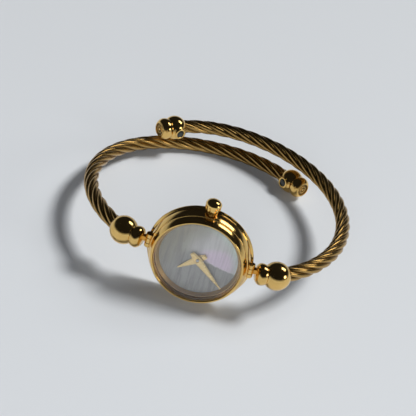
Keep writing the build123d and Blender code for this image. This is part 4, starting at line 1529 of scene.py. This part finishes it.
    def free_end(self) -> Shape:
        """The last ball with its collet, and the bead with its dished face.

        Returns:
            The mesh.
        """
        line, face = self.bead_line()
        profile = self.joined_balls(self.end_ball_radius, self.bead_radius, self.bead_spacing,
                                    self.bead_cut, self.face_radius)
        rim, floor = self.face_radius - self.bead_bevel, face - self.dish_depth
        profile += [(face - self.bead_bevel, rim), (face, rim), (face, self.dish_radius),
                    (floor, self.dish_radius - self.draft)]
        top = floor + self.ring_height
        for outer, inner in self.ring_radii:
            profile += [(floor, outer), (top, outer - self.draft), (top, inner + self.draft),
                        (floor, inner)]
        profile[-1] = (top, 0.0)
        mesh = lathe(soften(profile, radius=0.05, least=40.0), sides=96, line=line)
        line, rim = self.collet_line()
        foot = rim - 2 * self.collet_height
        collet = [(foot, self.collet_radius - self.draft),
                  *((rim + height, reach) for height, reach in self.collet_rim),
                  (foot, self.collet_radius - self.collet_wall)]
        collet = soften(collet, radius=0.12, closed=True)
        return lathe(collet, sides=64, line=line, closed=True, mesh=mesh)

    def face_inlay(self) -> Shape:
        """A thin dark layer on the floors of the grooves in the bead's face.

        Returns:
            The mesh.
        """
        line, face = self.bead_line()
        floor = face - self.dish_depth
        (first, bore), (knob, _) = self.ring_radii
        mesh = bmesh.new()
        for outer, inner in ((self.dish_radius - self.draft - FIT, first + FIT),
                             (bore - FIT, knob + FIT)):
            ring = strip(floor + FIT, floor + self.inlay_height, outer, inner)
            lathe(ring, sides=64, line=line, closed=True, mesh=mesh)
        return mesh

    def stone(self) -> Shape:
        """The stone, cut in flat facets round a table.

        Returns:
            The mesh.
        """
        line, rim = self.collet_line()
        girdle = self.collet_radius - self.collet_wall - FIT
        mesh = bmesh.new()
        foot = (FIT - 2 * self.collet_height, 1.0, 16, 0.0)
        for height, share, count, turn in (foot, *self.facets):
            for corner in range(count):
                angle = TURN / count * (corner + turn)
                mesh.verts.new(line @ polar(girdle * share, angle, rim + height))
        bmesh.ops.convex_hull(mesh, input=mesh.verts)
        return mesh

    def build(self, shop: Workshop, rope: Tree) -> None:
        """Make and dress the arm's pieces.

        Args:
            shop: The workshop.
            rope: The tree that twists the strands.
        """
        word = self.side.word
        body = f"{word}_arm"
        shop.piece(f"{word}_hinge_balls", self.hinge_end(), GOLD, body, (body,), sharp=40.0)
        shop.piece(f"{word}_cable", self.cable(rope, shop), WIRE, body, (body,), sharp=60.0)
        shop.piece(f"{word}_end_balls", self.free_end(), GOLD, body, (body,), sharp=40.0)
        shop.piece(f"{word}_face_inlay", self.face_inlay(), DARK_GROOVE_FILL, body)
        shop.piece(f"{word}_cut_stone", self.stone(), STONE, body, (f"{word}_stone",), sharp=4.0)


# The movement and the studio

@dataclass(frozen=True)
class Movement:
    """The pieces that keep their CAD shape, each with its finish."""

    finishes: tuple[tuple[Finish, tuple[str, ...]], ...] = (
        (RUBBER, ("case_back_gasket", "crown_gasket")),
        (STEEL, ("setting_stem", "sliding_pinion", "setting_lever", "cannon_pinion", "stator",
                 "movement_screws", "battery", "battery_clamp", "quartz_can", "rotor")),
        (BRASS, ("setting_wheel", "minute_wheel", "hour_wheel", "centre_wheel", "third_wheel",
                 "intermediate_wheel")),
        (NICKEL, ("main_plate", "train_bridge")),
        (COPPER, ("coil",)),
        (WHITE_PLASTIC, ("movement_holder",)),
        (BLACK_PLASTIC, ("drive_chip",)),
        (BOARD, ("circuit_board",)),
        (GOLD, ("crown_tube",)),
    )

    def build(self, shop: Workshop, nodes: dict[str, bpy.types.Object]) -> None:
        """Dress the nodes.

        Args:
            shop: The workshop.
            nodes: The CAD nodes by name.
        """
        for finish, names in self.finishes:
            for name in names:
                shop.carry(nodes[name], finish)


@dataclass(frozen=True)
class Lamp:
    """A soft rectangular lamp. Its places are metres to the camera's right, away from it and up."""

    name: str
    place: Triple
    size: Pair
    watts: float
    colour: Triple
    across: Triple = (0.0, 0.0, 1.0)
    mirrored: bool = True
    aim_at: Triple = (0.0, 0.0, 0.012)

    def hang(self, axes: Matrix) -> None:
        """Hang the lamp.

        Args:
            axes: Takes right, away and up to the world.
        """
        data = bpy.data.lights.new(self.name, "AREA")
        data.shape = "RECTANGLE"
        data.size, data.size_y = self.size
        data.energy = self.watts
        data.color = self.colour
        place = axes @ Vector(self.place)
        made = scene_object(self.name, data)
        made.matrix_world = aim(place, place - Vector(self.aim_at), axes @ Vector(self.across))
        made.visible_glossy = self.mirrored


@dataclass(frozen=True)
class Studio:
    """The floor, the lamps, the world and the camera, which stands as the photograph's did."""

    elevation: float = 30.643
    azimuth: float = 1.522
    roll: float = 16.094
    shift: Pair = (-2.529, -12.229)
    distance: float = 240.328
    sensor: float = 36.0
    focal_share: float = 1100 / 416
    floor_colour: Triple = (0.62, 0.66, 0.71)
    floor_size: float = 6.0
    wall_colour: Triple = (0.52, 0.56, 0.61)
    ceiling_colour: Triple = (0.014, 0.014, 0.016)
    sun_from: Triple = (0.57, 0.12, 0.82)
    sun_colour: Triple = (1.0, 0.97, 0.93)
    sun_strength: float = 2.95
    sun_width: float = 15.0
    lamps: tuple[Lamp, ...] = (
        Lamp("window", (0.4032, 0.2412, 0.522), (0.2, 0.32), 0.85, (1.0, 0.98, 0.94),
             across=(-0.7508, 0.1838, 0.495)),
        Lamp("side", (0.595, -0.266, 0.266), (0.2, 0.16), 0.5, (1.0, 0.97, 0.9)),
        Lamp("front", (-0.15, -0.7, 0.35), (0.5, 0.5), 2.2, (0.97, 0.98, 1.0), mirrored=False),
    )

    def axes(self) -> tuple[Vector, Vector, Vector]:
        """Work out the camera's directions in the watch's upright frame.

        Returns:
            Right, up and forward.
        """
        e, a, roll = (math.radians(v) for v in (self.elevation, self.azimuth, self.roll))
        back = Vector((math.sin(a) * math.cos(e), -math.cos(a) * math.cos(e), math.sin(e)))
        right = (-back).cross(Z_AXIS).normalized()
        up = right.cross(-back)
        turned = right * math.cos(roll) + up * math.sin(roll)
        return turned, up * math.cos(roll) - right * math.sin(roll), -back

    def camera(self, head: HeadFrame) -> bpy.types.Object:
        """The camera, at the photograph's angle on the head.

        Args:
            head: Where the head lies.

        Returns:
            The camera.
        """
        right, up, forward = self.axes()
        eye = -forward * self.distance - right * self.shift[0] - up * self.shift[1]
        turn = head.matrix.to_3x3() * (1 / MM)
        to_head = Matrix(((1, 0, 0), (0, 0, 1), (0, -1, 0)))
        columns = [turn @ (to_head @ axis) for axis in (right, up, -forward)]
        data = bpy.data.cameras.new("photo_view")
        data.lens = self.focal_share * self.sensor
        data.sensor_width = self.sensor
        data.sensor_fit = "HORIZONTAL"
        data.clip_start = 0.01
        data.clip_end = 20.0
        made = scene_object("photo_view", data)
        made.matrix_world = (Matrix.Translation(head.matrix @ (to_head @ eye))
                             @ Matrix(columns).transposed().to_4x4())
        bpy.context.scene.camera = made
        return made

    def floor(self) -> None:
        """The plain pale floor."""
        mesh = bmesh.new()
        bmesh.ops.create_grid(mesh, x_segments=1, y_segments=1, size=self.floor_size)
        floor = scene_object("floor", plain_mesh("floor", mesh))
        graph = Graph("pale_floor")
        fine = graph.noise(graph.node("ShaderNodeTexCoord", out="Object"), scale=40.0, detail=3.0)
        darker = tuple(0.9 * c for c in self.floor_colour)
        colour = graph.mix(fine * 0.06, self.floor_colour, darker)
        floor.data.materials.append(graph.dress(Base_Color=colour, Roughness=0.55))

    def sun(self, axes: Matrix) -> None:
        """The main light, even over the whole floor.

        Args:
            axes: Takes right, away and up to the world.
        """
        data = bpy.data.lights.new("main_light", "SUN")
        data.energy = self.sun_strength
        data.angle = math.radians(self.sun_width)
        data.color = self.sun_colour
        place = axes @ Vector(self.sun_from)
        made = scene_object("main_light", data)
        made.matrix_world = aim(place, place)
        made.visible_glossy = False

    def build(self, head: HeadFrame) -> None:
        """Set up the floor, the camera, the lights and the world.

        Args:
            head: Where the head lies.
        """
        self.floor()
        right = self.camera(head).matrix_world.to_3x3().col[0]
        right = Vector((right.x, right.y, 0)).normalized()
        axes = Matrix((right, Vector((-right.y, right.x, 0)), Z_AXIS)).transposed()
        self.sun(axes)
        for lamp in self.lamps:
            lamp.hang(axes)
        room = Room("soft_room")
        height = room.axis(room.node("ShaderNodeTexCoord", out="Generated"), 2)
        colour = room.mix(height.step(0.02, 0.26), self.wall_colour, self.ceiling_colour)
        room.dress(Color=colour, Strength=1.0)
        bpy.context.scene.view_settings.view_transform = "Standard"


def main() -> None:
    """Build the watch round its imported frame."""
    logging.basicConfig(level=logging.INFO, format="%(name)s: %(message)s")
    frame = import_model()
    head = HeadFrame(frame["joints"], hands_depth=2.5)
    shop = Workshop(head)
    case = Case()
    Studio().build(head)
    case.build(shop)
    Face().build(shop)
    Crown(case).build(shop)
    rope = rope_tree()
    for side in Side:
        Arm(side, case).build(shop, rope)
    Movement().build(shop, frame["nodes"])


if __name__ == "__main__":
    main()
